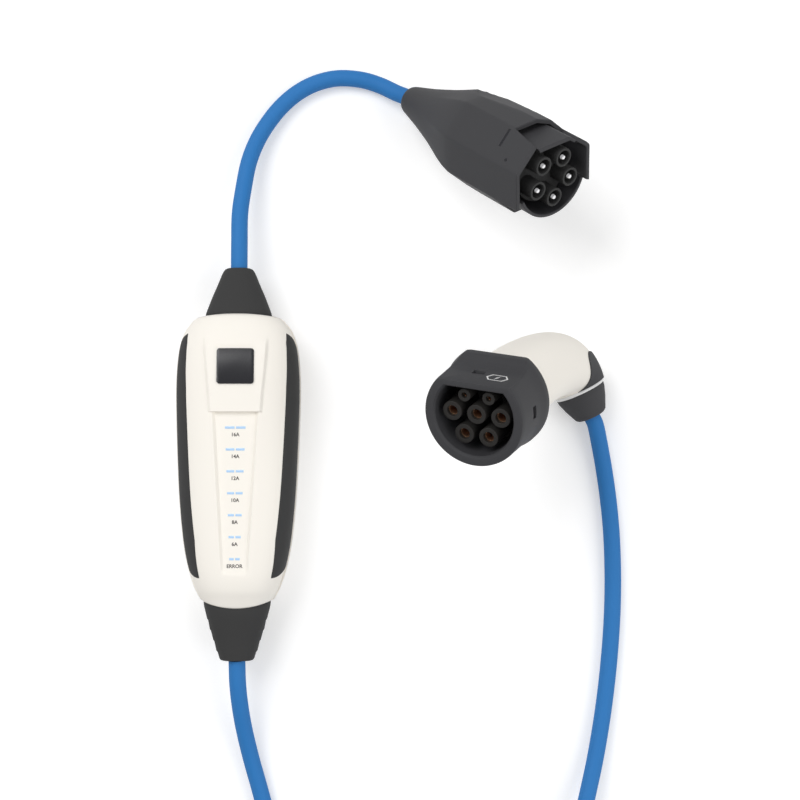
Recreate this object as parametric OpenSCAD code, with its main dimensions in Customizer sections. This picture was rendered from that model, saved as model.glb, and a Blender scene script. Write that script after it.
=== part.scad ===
// Portable vehicle charger: control box, supply cord with a five-pin plug, charge cord with a connector.
// Millimetres. The box lies on its back: +X to its right, +Y to its supply end, +Z up from the floor.

/* [Box] */
// Half of the widest width of the box
box_half_width = 41.7; // [39:0.1:45]
// Height of the front crown above the parting plane
front_rise = 27; // [25.5:0.1:29]
// Wall of both shells
wall = 3; // [2.6:0.1:3.4]
// How far the rear rim stands out beyond the front shell
rim_step = 1.2; // [0.8:0.1:1.6]
// How far the grips stand out of the front shell
grip_proud = 0.4; // [0.2:0.1:0.8]
// How deep the grips sit in the front shell
grip_depth = 1.8; // [1.4:0.1:2]
// Width of the dark badge plate
badge_width = 24.4; // [20:0.1:27]
// Height of the dark badge plate
badge_height = 23.4; // [20:0.1:25]
// Corner radius of the badge plate
badge_corner = 2; // [1:0.1:4]

/* [Display] */
// Rows of light bars
light_rows = 7; // [5:1:7]
// Distance from one row to the next
light_pitch = 14.3; // [12:0.1:14.5]
// Width of the top row
light_width = 13.4; // [11:0.1:14]
// How much narrower each row is than the row above it
light_step = 1.1; // [0.8:0.1:1.2]
// Height of a light bar
light_bar = 1.5; // [1:0.1:2]

/* [Cord] */
// Diameter of both cords
cord_diameter = 11.2; // [10:0.1:12]
// Radius of the innermost turn of the coil
coil_inner = 58; // [56:1:64]

/* [Supply plug] */
// Across the flats of the eight-sided plug body
plug_flats = 57; // [56:0.5:60]
// Radius of the circle that the pins stand on
pin_circle = 14; // [13.6:0.1:14.2]
// Diameter of a pin
pin_diameter = 4.4; // [4:0.1:5]
// Outer diameter of the tube around a pin
pin_tube = 12.4; // [12:0.1:12.8]

/* [Vehicle connector] */
// Outer diameter of the front collar
collar_diameter = 65; // [63:0.5:67]
// Inner diameter of the front collar
collar_bore = 52; // [51:0.5:53]
// Bore of a power contact
power_bore = 6.1; // [5.8:0.1:6.3]
// Bore of a signal contact
signal_bore = 3; // [2.8:0.1:3.2]
// Outer diameter of the tube around a power contact
power_tube = 12.5; // [12:0.1:13]

/* [Hidden] */
$fn = 48;

cream = [0.96, 0.93, 0.88];
dark = [0.16, 0.16, 0.17];
black = [0.07, 0.07, 0.08];
grey = [0.3, 0.3, 0.31];
blue = [0.1, 0.42, 0.72];
green = [0.1, 0.35, 0.22];
steel = [0.75, 0.76, 0.78];
copper = [0.72, 0.45, 0.28];
glow = [0.55, 0.78, 0.98];
white = [0.95, 0.95, 0.95];

// Height of the parting plane and of the cords' axis in the box
axis_z = 26;
cord_r = cord_diameter / 2;
top_y = 98.5;
low_y = -96;
end_y = 130.3;
cav_top = 94;
cav_low = -88;
front_n = 2.6;
rear_n = 3;
nose_r = 55;
neck_r = 9.5;
flange_r = 13;

// Outline of the box: distance along it, then width, front height and rear depth as shares of the largest
SHAPE = [
  [98.5, 0.552, 0.6, 16], [96.5, 0.69, 0.69, 18], [93, 0.775, 0.765, 20], [88, 0.86, 0.835, 22],
  [79, 0.94, 0.926, 24.2], [65, 0.985, 0.985, 25], [47, 1, 1, 25.2], [25, 0.988, 1, 25.2],
  [0, 0.966, 1, 25.2], [-25, 0.933, 1, 25.2], [-50, 0.873, 0.99, 25], [-65, 0.81, 0.965, 24.4],
  [-76, 0.737, 0.92, 23], [-84, 0.665, 0.83, 20.8], [-90, 0.582, 0.69, 18], [-96, 0.5, 0.55, 15.5]];

function spow(v, e) = sign(v) * pow(abs(v), e);
function cr(a, b, c, d, t) =
  0.5 * (2 * b + (c - a) * t + (2 * a - 5 * b + 4 * c - d) * t * t + (3 * b - a - 3 * c + d) * t * t * t);
function cr_at(p, i, t) =
  let (n = len(p) - 1)
  cr(i > 0 ? p[i - 1] : 2 * p[0] - p[1], p[i], p[i + 1], i < n - 1 ? p[i + 2] : 2 * p[n] - p[n - 1], t);
function smooth(p, k) = [
  for (i = [0 : len(p) - 2]) for (j = [0 : k - 1]) cr_at(p, i, j / k),
  p[len(p) - 1]];
S = [for (s = smooth(SHAPE, 2)) [s[0], s[1] * box_half_width, s[2] * front_rise, s[3]]];
W_AT = [for (s = S) [s[0], s[1]]];
F_AT = [for (s = S) [s[0], s[2]]];
function half_w(y) = lookup(y, W_AT);
function front_h(y) = lookup(y, F_AT);

// Points of a rounded arc in the cross-section plane, from angle lo to angle hi
function arc(w, h, n, lo, hi, m) = [
  for (i = [0 : m]) let (a = lo + (hi - lo) * i / m) [w * spow(cos(a), 2 / n), h * spow(sin(a), 2 / n)]];
function in_xz(pts, y, z0 = axis_z) = [for (p = pts) [p[0], y, z0 + p[1]]];
function turned(list) = [for (i = [len(list) - 1 : -1 : 0]) list[i]];

// Faces of a skin: a whole end, an end closed by a strip, and the sides between n rings of m points
function ring_cap(e, m) = [for (j = [0 : m - 1]) e + j];
function end_strip(e, m) = [
  for (j = [0 : m / 2 - 2]) each [[e + j, e + j + 1, e + m - 2 - j], [e + j, e + m - 2 - j, e + m - 1 - j]]];
function quad(a, b, c, d, flip) = flip ? [[a, b, d], [b, c, d]] : [[a, b, c], [a, c, d]];
function side_faces(n, m, q, flip) = [
  for (k = [0 : n - 2]) for (j = [0 : m - 1])
    let (i = (j + 1) % m, a = q + k * m, b = a + m) each quad(a + j, b + j, b + i, a + i, flip)];

// Closed solid through rings with equal numbers of points, each counter-clockwise about the way of travel.
// The ends of a ring that runs out along one arc and back along another are closed by a strip between them.
module loft(rings, flip = false, strip = false) {
  n = len(rings);
  m = len(rings[0]);
  e = (n - 1) * m;
  polyhedron(
    points = [for (r = rings) each r],
    faces = concat(strip ? end_strip(0, m) : [ring_cap(0, m)],
      [for (f = strip ? end_strip(e, m) : [ring_cap(e, m)]) turned(f)],
      side_faces(n, m, 0, flip)),
    convexity = 6);
}

// Closed pipe between outer and inner rings
module pipe(outer, inner) {
  n = len(outer);
  m = len(outer[0]);
  q = n * m;
  e = q - m;
  polyhedron(
    points = concat([for (r = outer) each r], [for (r = inner) each r]),
    faces = concat(
      side_faces(n, m, 0, false),
      [for (f = side_faces(n, m, q, false)) turned(f)],
      [for (j = [0 : m - 1]) let (i = (j + 1) % m) [j, i, q + i, q + j]],
      [for (j = [0 : m - 1]) let (i = (j + 1) % m) [e + j, q + e + j, q + e + i, e + i]]),
    convexity = 6);
}

module rod(a, b, r) {
  d = b - a;
  l = norm(d);
  translate(a) rotate([0, acos(d[2] / l), atan2(d[1], d[0])]) cylinder(h = l, r = r);
}

module along_y(y, z = axis_z, x = 0) {
  translate([x, y, z]) rotate([-90, 0, 0]) children();
}

module rounded(w, h, r) {
  square([w - 2 * r, h], center = true);
  square([w, h - 2 * r], center = true);
  for (x = [-1, 1]) for (y = [-1, 1]) translate([x * (w / 2 - r), y * (h / 2 - r)]) circle(r = r);
}

// Place of the cavity's ring beside ring k, and whether it is still the cord hole
function is_hole(y) = y > cav_top || y < cav_low;
function cav_y(k) =
  let (y = S[k][0], up = k > 0 ? S[k - 1][0] : y, dn = k < len(S) - 1 ? S[k + 1][0] : y)
  y > cav_top ? (dn > cav_top ? y : cav_top) :
  y < cav_low ? (up < cav_low ? y : cav_low) :
  up > cav_top ? cav_top : dn < cav_low ? cav_low : y;
function front_ring(k) =
  let (s = S[k], w = s[1] - rim_step, hole = is_hole(s[0]))
  concat(
    in_xz(arc(w, s[2], front_n, 0, 180, 24), s[0]),
    in_xz(hole ? arc(5, 5, 2, 180, 0, 24) : arc(w - wall, s[2] - wall, front_n, 180, 0, 24), cav_y(k)));
function rear_ring(k) =
  let (s = S[k], w = s[1], hole = is_hole(s[0]))
  concat(
    in_xz(arc(w, s[3], rear_n, 180, 360, 24), s[0]),
    in_xz(hole ? arc(5, 5, 2, 360, 180, 24) : arc(w - wall, s[3] - wall, rear_n, 360, 180, 24), cav_y(k)));

// Screws that close the box, and where their columns start in the rear shell and end in the front shell
SHELL_SCREWS = [[24, 66, 4.4, 47.3], [24, 0, 4.4, 47.3], [17, -73, 5.6, 46.3]];
BOARD_SCREWS = [[26, 40, 5.2], [24, -50, 6.2]];
DISPLAY_SCREWS = [[10, 31], [9, -68]];
CLAMPS = [85, -80.8];
clamp_x = 10.5;
screw_r = 1.6;
board_z = 14;
board_t = 1.6;
tray_z = 46.9;
floor_z = 49.9;
lip_y = 33;
guide_t = 1.5;
led_h = 1;

module both_sides() {
  children();
  mirror([1, 0, 0]) children();
}

module end_bores() {
  along_y(cav_top - 2) cylinder(h = 10, r = neck_r);
  along_y(low_y - 2) cylinder(h = 12, r = neck_r);
}

// What lies beyond the rounded lower end of the shells
module nose_cut() {
  difference() {
    translate([-40, -110, -5]) cube([80, 25, 70]);
    translate([0, nose_r - 95.5, -6]) cylinder(h = 72, r = nose_r, $fn = 96);
  }
}

GRIP_INSET = [
  [86, 4.6], [79, 6.8], [69, 7.8], [49, 9], [25, 9.4], [-21, 10], [-51, 10.2], [-61, 9.2], [-76, 7.6]];
grip_top = 86;
grip_low = -76;
GRIP_Y = concat([grip_top], [for (s = S) if (s[0] < grip_top - 2 && s[0] > grip_low + 2) s[0]], [grip_low]);

function grip_ring(y) =
  let (
    w = half_w(y) - rim_step,
    h = front_h(y),
    a = acos(pow((half_w(y) - lookup(y, GRIP_INSET)) / (w + grip_proud), front_n / 2)))
  concat(
    in_xz(arc(w + grip_proud, h + grip_proud, front_n, 0, a, 8), y),
    in_xz(arc(w - grip_depth, h - grip_depth, front_n, a, 0, 8), y));

module grip_solid() {
  loft([for (y = GRIP_Y) grip_ring(y)], strip = true);
}

// Raised pad around the badge: place, height of its top, half width
PAD = [[82, 50.2, 19.5], [72, 52.6, 19], [60, 53.5, 18], [45, 53.9, 16.5], [lip_y, 53.9, 15.7]];

module pad() {
  rise = front_rise - 27;
  loft([for (p = PAD) [
    [p[2] + 1.6, p[0], 49.2 + rise], [p[2], p[0], p[1] + rise],
    [-p[2], p[0], p[1] + rise], [-p[2] - 1.6, p[0], 49.2 + rise]]]);
}

module channel() {
  rise = front_rise - 27;
  loft([for (p = [[lip_y, 13, floor_z], [-66, 7, floor_z], [-77, 6.4, 52.2]]) [
    [p[1] + 4, p[0], 57 + rise], [-p[1] - 4, p[0], 57 + rise],
    [-p[1], p[0], p[2] + rise], [p[1], p[0], p[2] + rise]]]);
}

module at_badge() {
  translate([0, 62.7, 53.25 + front_rise - 27]) rotate([-4, 0, 0]) children();
}

function row_y(i) = 22.6 - light_pitch * i;
function row_w(i) = light_width - light_step * i;

module light_bars(z0, z1) {
  for (i = [0 : light_rows - 1]) {
    l = (row_w(i) - 1) / 2;
    both_sides() translate([0.5, row_y(i) - light_bar / 2, z0]) cube([l, light_bar, z1 - z0]);
  }
}

module display_shift() {
  translate([0, 0, front_rise - 27]) children();
}

module front_shell() {
  color(cream) difference() {
    union() {
      loft([for (k = [0 : len(S) - 1]) front_ring(k)], strip = true);
      pad();
      display_shift() translate([0, 0, tray_z]) linear_extrude(height = 3.1)
        polygon([[18, 36], [-18, 36], [-11, -75], [11, -75]]);
      both_sides() for (s = SHELL_SCREWS) translate([s[0], s[1], axis_z]) cylinder(h = s[3] - axis_z, r = 4);
      display_shift() both_sides() for (s = DISPLAY_SCREWS)
        translate([s[0], s[1], tray_z - guide_t - led_h]) cylinder(h = guide_t + led_h + 1, r = 2.4);
    }
    both_sides() grip_solid();
    channel();
    at_badge() translate([0, 0, -1]) linear_extrude(height = 6)
      rounded(badge_width, badge_height, badge_corner);
    display_shift() light_bars(tray_z - 1, floor_z + 3);
    both_sides() for (s = SHELL_SCREWS) translate([s[0], s[1], axis_z - 1]) cylinder(h = 13, r = screw_r);
    display_shift() both_sides() for (s = DISPLAY_SCREWS)
      translate([s[0], s[1], tray_z - guide_t - led_h - 1]) cylinder(h = 5, r = 0.9);
    end_bores();
    nose_cut();
  }
}

module seal_strip() {
  ys = [for (s = S) if (s[0] < 91 && s[0] > -87) s[0]];
  translate([0, 0, axis_z - 1]) linear_extrude(height = 1)
    polygon(concat(
      [for (y = ys) [half_w(y) - rim_step - 0.4, y]],
      [for (y = turned(ys)) [half_w(y) - rim_step - 1.4, y]]));
}

module shell_seal() {
  color(dark) both_sides() seal_strip();
}

module clamp_bore(y) {
  along_y(y - 6) cylinder(h = 12, r = cord_r);
}

module rear_shell() {
  color(cream) difference() {
    union() {
      loft([for (k = [0 : len(S) - 1]) rear_ring(k)], strip = true);
      translate([0, 5, 0]) linear_extrude(height = 2.6) rounded(44, 110, 6);
      both_sides() for (s = SHELL_SCREWS) translate([s[0], s[1], s[2]]) cylinder(h = axis_z - s[2], r = 4.5);
      both_sides() for (s = BOARD_SCREWS) translate([s[0], s[1], s[2]]) cylinder(h = board_z - s[2], r = 3);
      translate([-15, CLAMPS[0] - 4, 6]) cube([30, 8, axis_z - 6]);
      translate([-15, CLAMPS[1] - 4, 7.8]) cube([30, 8, axis_z - 7.8]);
      translate([-8, -66, 4]) cube([16, 9, 12]);
    }
    both_sides() seal_strip();
    both_sides() for (s = SHELL_SCREWS) {
      translate([s[0], s[1], -1]) cylinder(h = 13, r = 3.2);
      translate([s[0], s[1], 11]) cylinder(h = 16, r = screw_r);
    }
    both_sides() for (s = BOARD_SCREWS) translate([s[0], s[1], board_z - 5]) cylinder(h = 6, r = 1.3);
    for (y = CLAMPS) {
      clamp_bore(y);
      both_sides() translate([clamp_x, y, axis_z - 9]) cylinder(h = 10, r = screw_r);
    }
    along_y(-67) cylinder(h = 11, r = 15);
    end_bores();
    nose_cut();
  }
}

module left_grip() {
  color(dark) mirror([1, 0, 0]) grip_solid();
}

module right_grip() {
  color(dark) grip_solid();
}

module badge_plate() {
  color(black) at_badge() translate([0, 0, -1]) linear_extrude(height = 1.7)
    rounded(badge_width, badge_height, badge_corner);
}

module light_guide() {
  color(glow) display_shift() {
    light_bars(tray_z - 0.5, floor_z + 0.2);
    translate([-7.5, row_y(light_rows - 1) - 3, tray_z - guide_t])
      cube([15, row_y(0) - row_y(light_rows - 1) + 6, guide_t]);
  }
}

// Rubber boot rings: place, half width, half height
UPPER_BOOT = [
  [130.3, 7.6, 7.6], [129.2, 9.2, 9.2], [126.6, 10.7, 10.2], [122.3, 12.4, 11], [117, 14.5, 11.9],
  [111.7, 16.7, 12.9], [106.3, 18.7, 14], [101, 20.6, 15], [98.5, 21.2, 15.2]];
LOWER_BOOT = [
  [-88, 22.2, 15.4], [-94, 21, 15], [-102.5, 19, 14.2], [-103.5, 18.3, 13.6], [-109.5, 17.2, 13],
  [-110.5, 16.5, 12.4], [-116.5, 15, 11.8], [-117.5, 14.3, 11.3], [-123.5, 13, 10.8], [-124.5, 12.2, 10.4],
  [-128.6, 11, 9.8], [-130.3, 9.4, 8.8]];

function open_ring(w, h, n, m) = [
  for (i = [0 : m - 1]) let (a = 360 * i / m) [w * spow(cos(a), 2 / n), h * spow(sin(a), 2 / n)]];

module boot(rows, neck0, neck1, rim0, rim1) {
  color(dark) difference() {
    union() {
      difference() {
        loft([for (b = rows) in_xz(open_ring(b[1], b[2], 2.3, 40), b[0])]);
        translate([0, nose_r - 95.5, -6]) cylinder(h = 72, r = nose_r, $fn = 96);
      }
      along_y(neck0) cylinder(h = neck1 - neck0, r = neck_r);
      along_y(rim0) cylinder(h = rim1 - rim0, r = flange_r);
    }
    along_y(-140) cylinder(h = 280, r = cord_r);
  }
}

module upper_boot() {
  boot(UPPER_BOOT, 92, top_y + 4, 91, cav_top);
}

module lower_boot() {
  boot(LOWER_BOOT, -100, -87, cav_low, -85);
}

module clamp_bar(y) {
  color(grey) difference() {
    translate([-15, y - 4, axis_z]) cube([30, 8, 8.5]);
    clamp_bore(y);
    both_sides() translate([clamp_x, y, axis_z - 1]) cylinder(h = 12, r = screw_r);
  }
}

module upper_clamp() {
  clamp_bar(CLAMPS[0]);
}

module lower_clamp() {
  clamp_bar(CLAMPS[1]);
}

// Screw with its head's seat at the origin, pointing to -Z
module screw(r, l, head_r, head_h) {
  difference() {
    union() {
      cylinder(h = head_h, r = head_r);
      translate([0, 0, -l]) cylinder(h = l + 0.1, r = r);
    }
    for (a = [0, 90]) rotate(a)
      translate([-head_r * 0.6, -0.35, head_h * 0.45]) cube([head_r * 1.2, 0.7, head_h]);
  }
}

module clamp_screws() {
  color(steel) both_sides() for (y = CLAMPS)
    translate([clamp_x, y, axis_z + 8.5]) screw(screw_r, 15, 2.8, 2);
}

module shell_screws() {
  color(steel) both_sides() for (s = SHELL_SCREWS)
    translate([s[0], s[1], 12]) mirror([0, 0, 1]) screw(screw_r, 24, 3, 2.2);
}

module main_board() {
  color(green) difference() {
    translate([-29, -56, board_z]) cube([58, 128, board_t]);
    both_sides() for (s = SHELL_SCREWS) translate([s[0], s[1], board_z - 1]) cylinder(h = 4, r = 5.2);
    both_sides() for (s = BOARD_SCREWS) translate([s[0], s[1], board_z - 1]) cylinder(h = 4, r = 1.3);
  }
}

module board_screws() {
  color(steel) both_sides() for (s = BOARD_SCREWS)
    translate([s[0], s[1], board_z + board_t]) screw(1.3, 6, 2.5, 1.8);
}

module relay(x, y) {
  color(black) translate([x, y, board_z + board_t]) {
    translate([-8.5, -13, 0]) cube([17, 26, 18.5]);
    translate([-7.5, -12, 18]) cube([15, 24, 1.5]);
  }
}

module relay_1() {
  relay(-9.8, 6);
}

module relay_2() {
  relay(9.8, 6);
}

module relay_3() {
  relay(-9.8, -21.5);
}

module relay_4() {
  relay(9.8, -21.5);
}

module current_sensor() {
  color(black) along_y(-66) difference() {
    cylinder(h = 9, r = 15);
    translate([0, 0, -1]) cylinder(h = 11, r = 8.4);
  }
}

module supply_module() {
  color(black) translate([-21, 21, board_z + board_t]) {
    cube([30, 27, 14]);
    translate([1, 1, 13]) cube([28, 25, 2]);
  }
}

module varistors() {
  color(blue) for (y = [24, 33, 42]) difference() {
    along_y(y - 2, board_z + board_t + 5, 16) cylinder(h = 4, r = 6);
    translate([8, y - 4, board_z + board_t - 4]) cube([16, 8, 4]);
  }
}

POLES = [-10, -5, 0, 5, 10];
CORE_A = [288, 216, 0, 144, 72];
pole_z = 22;

module terminal(y) {
  color([0.2, 0.45, 0.3]) difference() {
    translate([-14, y - 5, board_z + board_t]) cube([28, 10, 13]);
    for (x = POLES) translate([x, y, board_z + board_t + 9]) cylinder(h = 5, r = 1.7);
  }
}

module inlet_terminal() {
  terminal(56);
}

module outlet_terminal() {
  terminal(-44.5);
}

module display_board() {
  color(green) display_shift() difference() {
    translate([-12.5, -72, tray_z - guide_t - led_h - board_t]) cube([25, 107, board_t]);
    both_sides() for (s = DISPLAY_SCREWS)
      translate([s[0], s[1], tray_z - guide_t - led_h - board_t - 1]) cylinder(h = 4, r = 0.9);
  }
}

module display_leds() {
  color(white) display_shift() for (i = [0 : light_rows - 1])
    both_sides() translate([0.8, row_y(i) - 0.8, tray_z - guide_t - led_h]) cube([1.6, 1.6, led_h]);
}

module display_screws() {
  color(steel) display_shift() both_sides() for (s = DISPLAY_SCREWS)
    translate([s[0], s[1], tray_z - guide_t - led_h - board_t]) mirror([0, 0, 1]) screw(0.9, 5, 1.8, 1.2);
}

// Sheath end and its cores in the box: from the boot's outer end to a terminal
module lead(y_out, y_end, y_wire) {
  s = y_out > y_end ? -1 : 1;
  color(blue) rod([0, y_out, axis_z], [0, y_end, axis_z], cord_r);
  color(copper) for (i = [0 : 4]) {
    a = [3.3 * sin(CORE_A[i]), y_end - s, axis_z + 3.3 * cos(CORE_A[i])];
    b = [a[0], y_wire - 11 * s, a[2]];
    c = [POLES[i], y_wire, pole_z];
    rod(a, b + [0, s, 0], 1.5);
    intersection() {
      rod(b, c + 0.2 * (c - b), 1.2);
      translate([-20, s < 0 ? y_wire : y_end, 0]) cube([40, abs(y_wire - y_end), 60]);
    }
  }
}

module supply_cores() {
  lead(end_y, 80, 61);
}

module charge_cores() {
  lead(-end_y, -75, -49.5);
}

// Cords
function unit(v) = v / norm(v);
function ring_at(p, t, r, m) =
  let (a = unit(cross([0, 0, 1], t)), b = cross(t, a))
  [for (i = [0 : m - 1]) p + r * (cos(360 * i / m) * a + sin(360 * i / m) * b)];

module tube(route, first, last, k) {
  p = smooth(route, k);
  n = len(p) - 1;
  loft([for (i = [0 : n])
    ring_at(p[i], i == 0 ? unit(first) : i == n ? unit(last) : unit(p[i + 1] - p[i - 1]), cord_r, 12)]);
}

function ry(p, a) = [p[0] * cos(a) + p[2] * sin(a), p[1], p[2] * cos(a) - p[0] * sin(a)];
function rz(p, a) = [p[0] * cos(a) - p[1] * sin(a), p[0] * sin(a) + p[1] * cos(a), p[2]];

// Supply plug, with its axis along Z and its pins pointing to +Z. Its cord enters at entry_z.
plug_at = [115.1, 247.3, 17];
plug_rise = 38.8;
plug_heading = -38.3;
pin_turn = 37.7;
entry_z = -10;
plug_dir = rz(ry([0, 0, 1], 90 - plug_rise), plug_heading);
plug_len = 138;
plug_c = plug_flats / 2 / cos(22.5);
root_r = pin_diameter / 2 + 0.4;
recess_z = 112;
pin_len = 23;
skirt_r = plug_flats / 2 - 3.6;
skirt_in = skirt_r - 2.2;

SUPPLY_ROUTE = [
  [0, end_y, axis_z], [0, 148, 25.5], [0, 168, 22.5], [2, 186, 18.5], [5, 204, 14.5], [10, 219, 11],
  [17, 232, 8.5], [26, 244, 7], [37, 254, 6], [50, 261, 6], [65, 264.5, 6], [81, 263.5, 6], [94, 259.5, 6.4],
  [105, 253.5, 9.9], plug_at];

module supply_cord() {
  color(blue) tube(SUPPLY_ROUTE, [0, 1, 0], plug_dir, 2);
}

module at_plug() {
  translate(plug_at) rotate([0, 90 - plug_rise, plug_heading]) translate([0, 0, -entry_z]) children();
}

module octagon(z0, z1, c) {
  translate([0, 0, z0]) rotate(22.5) cylinder(h = z1 - z0, r = c, $fn = 8);
}

module sector(a0, a1, z0, z1) {
  n = ceil((a1 - a0) / 30);
  translate([0, 0, z0]) linear_extrude(height = z1 - z0)
    polygon(concat(
      [[0, 0]],
      [for (i = [0 : n]) let (a = a0 + (a1 - a0) * i / n) [60 * cos(a), 60 * sin(a)]]));
}

module plug_housing() {
  color(dark) at_plug() difference() {
    union() {
      rotate_extrude() polygon([
        [0, entry_z], [8, entry_z], [9.2, entry_z + 2.5], [17.5, 36], [24.5, 52], [plug_flats / 2 - 0.4, 60],
        [plug_flats / 2 - 0.4, 70], [0, 70]]);
      octagon(60, 114, plug_c);
      intersection() {
        octagon(113, plug_len, plug_c);
        union() {
          sector(155, 250, 112, plug_len + 1);
          sector(10, 72, 112, plug_len + 1);
        }
      }
      translate([0, 0, 113]) cylinder(h = plug_len - 115, r = skirt_r);
      translate([-plug_flats / 2 - 1.2, -11, 78]) cube([6, 13, 44]);
      translate([-8, plug_flats / 2 - 4, 72]) cube([16, 5, 30]);
    }
    difference() {
      octagon(116, plug_len + 1, plug_c - 3);
      translate([0, 0, 115]) cylinder(h = 30, r = skirt_r);
    }
    translate([0, 0, 100]) cylinder(h = 50, r = skirt_in);
    difference() {
      sector(72, 155, 114, plug_len + 1);
      translate([0, 0, 100]) cylinder(h = 50, r = skirt_in - 0.5);
    }
    rotate_extrude() polygon([[0, entry_z + 19], [7, entry_z + 19], [17, 62], [17, 101], [0, 101]]);
    translate([0, 0, entry_z - 1]) cylinder(h = 21, r = cord_r);
    translate([-plug_flats / 2 - 1, 3, 108]) cube([4, 12, 1.6]);
    translate([-plug_flats / 2 - 2, -4.5, 118]) rotate([0, 90, 0]) cylinder(h = 5, r = 1);
    translate([-plug_flats / 2 - 2, -4.5, 82]) rotate([0, 90, 0]) cylinder(h = 4, r = 1);
  }
}

function pin_at(i) = [pin_circle * cos(pin_turn + 72 * i), pin_circle * sin(pin_turn + 72 * i), 0];

module plug_insert() {
  color(black) at_plug() difference() {
    union() {
      translate([0, 0, 100]) cylinder(h = 6, r = skirt_in);
      translate([0, 0, 105]) cylinder(h = 19, r = pin_circle + pin_tube / 2 + 0.4);
      for (i = [0 : 4]) translate(pin_at(i) + [0, 0, 123]) cylinder(h = plug_len - 124.5, r = pin_tube / 2);
    }
    for (i = [0 : 4]) {
      translate(pin_at(i) + [0, 0, 99]) cylinder(h = 20, r = root_r);
      translate(pin_at(i) + [0, 0, recess_z]) cylinder(h = 40, r = pin_tube / 2 - 1.5);
    }
  }
}

module plug_pin(i) {
  color(steel) at_plug() translate(pin_at(i)) {
    translate([0, 0, 95]) cylinder(h = recess_z - 95, r = root_r);
    translate([0, 0, recess_z - 0.1]) cylinder(h = pin_len + 0.1, r = pin_diameter / 2);
    translate([0, 0, recess_z + pin_len]) cylinder(h = 1.3, r1 = pin_diameter / 2, r2 = pin_diameter / 2 - 1);
  }
}

module plug_pin_1() {
  plug_pin(0);
}

module plug_pin_2() {
  plug_pin(1);
}

module plug_pin_3() {
  plug_pin(2);
}

module plug_pin_4() {
  plug_pin(3);
}

module plug_pin_5() {
  plug_pin(4);
}

module plug_cores() {
  at_plug() {
    color(blue) translate([0, 0, entry_z]) cylinder(h = 21, r = cord_r);
    color(copper) for (i = [0 : 4]) {
      a = 0.25 * pin_at(i) + [0, 0, entry_z + 20];
      b = 0.25 * pin_at(i) + [0, 0, entry_z + 25];
      c = pin_at(i) + [0, 0, 92];
      rod(a, b, 1.4);
      translate(b) sphere(r = 1.6);
      rod(b, c, 1.4);
      translate(c) sphere(r = 1.6);
      rod(c, pin_at(i) + [0, 0, 95], 1.4);
    }
  }
}

// Vehicle connector, with the middle of its face at the origin, its flat side to +Y and its contacts to +Z
face_at = [152.15, 23.84, 138.3];
face_tilt = 36.03;
face_heading = 223.12;
face_roll = 132.09;
elbow_turn = 28;
bend = 92;
corner_z = -142;
neck_len = 34;
boot_dir = [0, -sin(bend), -cos(bend)];
neck_at = [0, 0, corner_z] + neck_len * boot_dir;
neck_r1 = 17.2;
boot_len = 21;
exit_at = neck_at + boot_len * boot_dir;
collar_r = collar_diameter / 2;
bore_r = collar_bore / 2;
rim_r = collar_r + 2.1;
flat_y = 22;
bore_flat_y = 17.7;
rear_z = -40;

function turn_dir(p) = rz(ry(rz(p, face_roll), face_tilt), face_heading);
function to_world(p) = face_at + turn_dir(p);
function elbow_dir(p) = turn_dir(rz(p, elbow_turn));

module at_connector() {
  translate(face_at) rotate([0, face_tilt, face_heading]) rotate([0, 0, face_roll]) children();
}

module at_elbow() {
  at_connector() rotate([0, 0, elbow_turn]) children();
}

module at_neck() {
  translate(neck_at) rotate([180 - bend, 0, 0]) children();
}

// Elbow stations: share of the way from the collar to the neck, half width, half height outside the bend
// and half height inside it
ELBOW = [
  [0, 27.5, 23.5, 26], [0.15, 27.5, 23.6, 25], [0.3, 26.4, 23.2, 23.8], [0.45, 24.8, 22.4, 22.2],
  [0.6, 22.8, 21.2, 20.2], [0.7, 21.4, 20.3, 18.8], [0.8, 20, 19.3, 17.6], [0.87, 19, 18.6, 16.9],
  [0.94, 18.1, 17.9, 16.5], [1, neck_r1, neck_r1, 16.6]];

// Middle line of the elbow: a parabola that leaves the collar along its axis and meets the neck
function elbow_mid(t) =
  (1 - t) * (1 - t) * [0, 0, rear_z] + 2 * t * (1 - t) * [0, 0, corner_z] + t * t * neck_at;
function elbow_way(t) = unit((1 - t) * [0, 0, corner_z - rear_z] + t * neck_len * boot_dir);

function elbow_ring(e, off, a0, a1, m, open) =
  let (
    way = elbow_way(e[0]),
    c = elbow_mid(e[0]),
    up = [0, -way[2], way[1]])
  [for (i = [0 : open ? m - 1 : m]) let (a = a0 + (a1 - a0) * i / m, h = sin(a) > 0 ? e[2] : e[3])
    c + [-(e[1] + off) * spow(cos(a), 0.9), 0, 0] + (h + off) * spow(sin(a), 0.9) * up];

// Soft inset on the side of the neck: a band on the elbow's own facets, cut to a rounded tongue that
// follows the elbow's middle line
inset_proud = 1;
inset_from = 0.67;
inset_half = 16.5;

function inset_ring(e) = concat(
  elbow_ring(e, inset_proud, 110, 250, 14, false),
  turned(elbow_ring(e, 0, 110, 250, 14, false)));

function beside(m, way, h) = [m[1] - h * way[2], m[2] + h * way[1]];
function tongue_side(s, first) = concat(
  [for (i = [first : 12])
    let (u = pow(i / 12, 1.8), t = inset_from + (1 - inset_from) * u)
    beside(elbow_mid(t), elbow_way(t), s * inset_half * sqrt(u))],
  [beside(neck_at + 2 * boot_dir, boot_dir, s * inset_half)]);

module inset_solid() {
  intersection() {
    loft([for (e = ELBOW) if (e[0] >= 0.6) inset_ring(e)], flip = true, strip = true);
    rotate([90, 0, 90]) linear_extrude(height = 40)
      polygon(concat(tongue_side(1, 0), turned(tongue_side(-1, 1))));
  }
}

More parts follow.
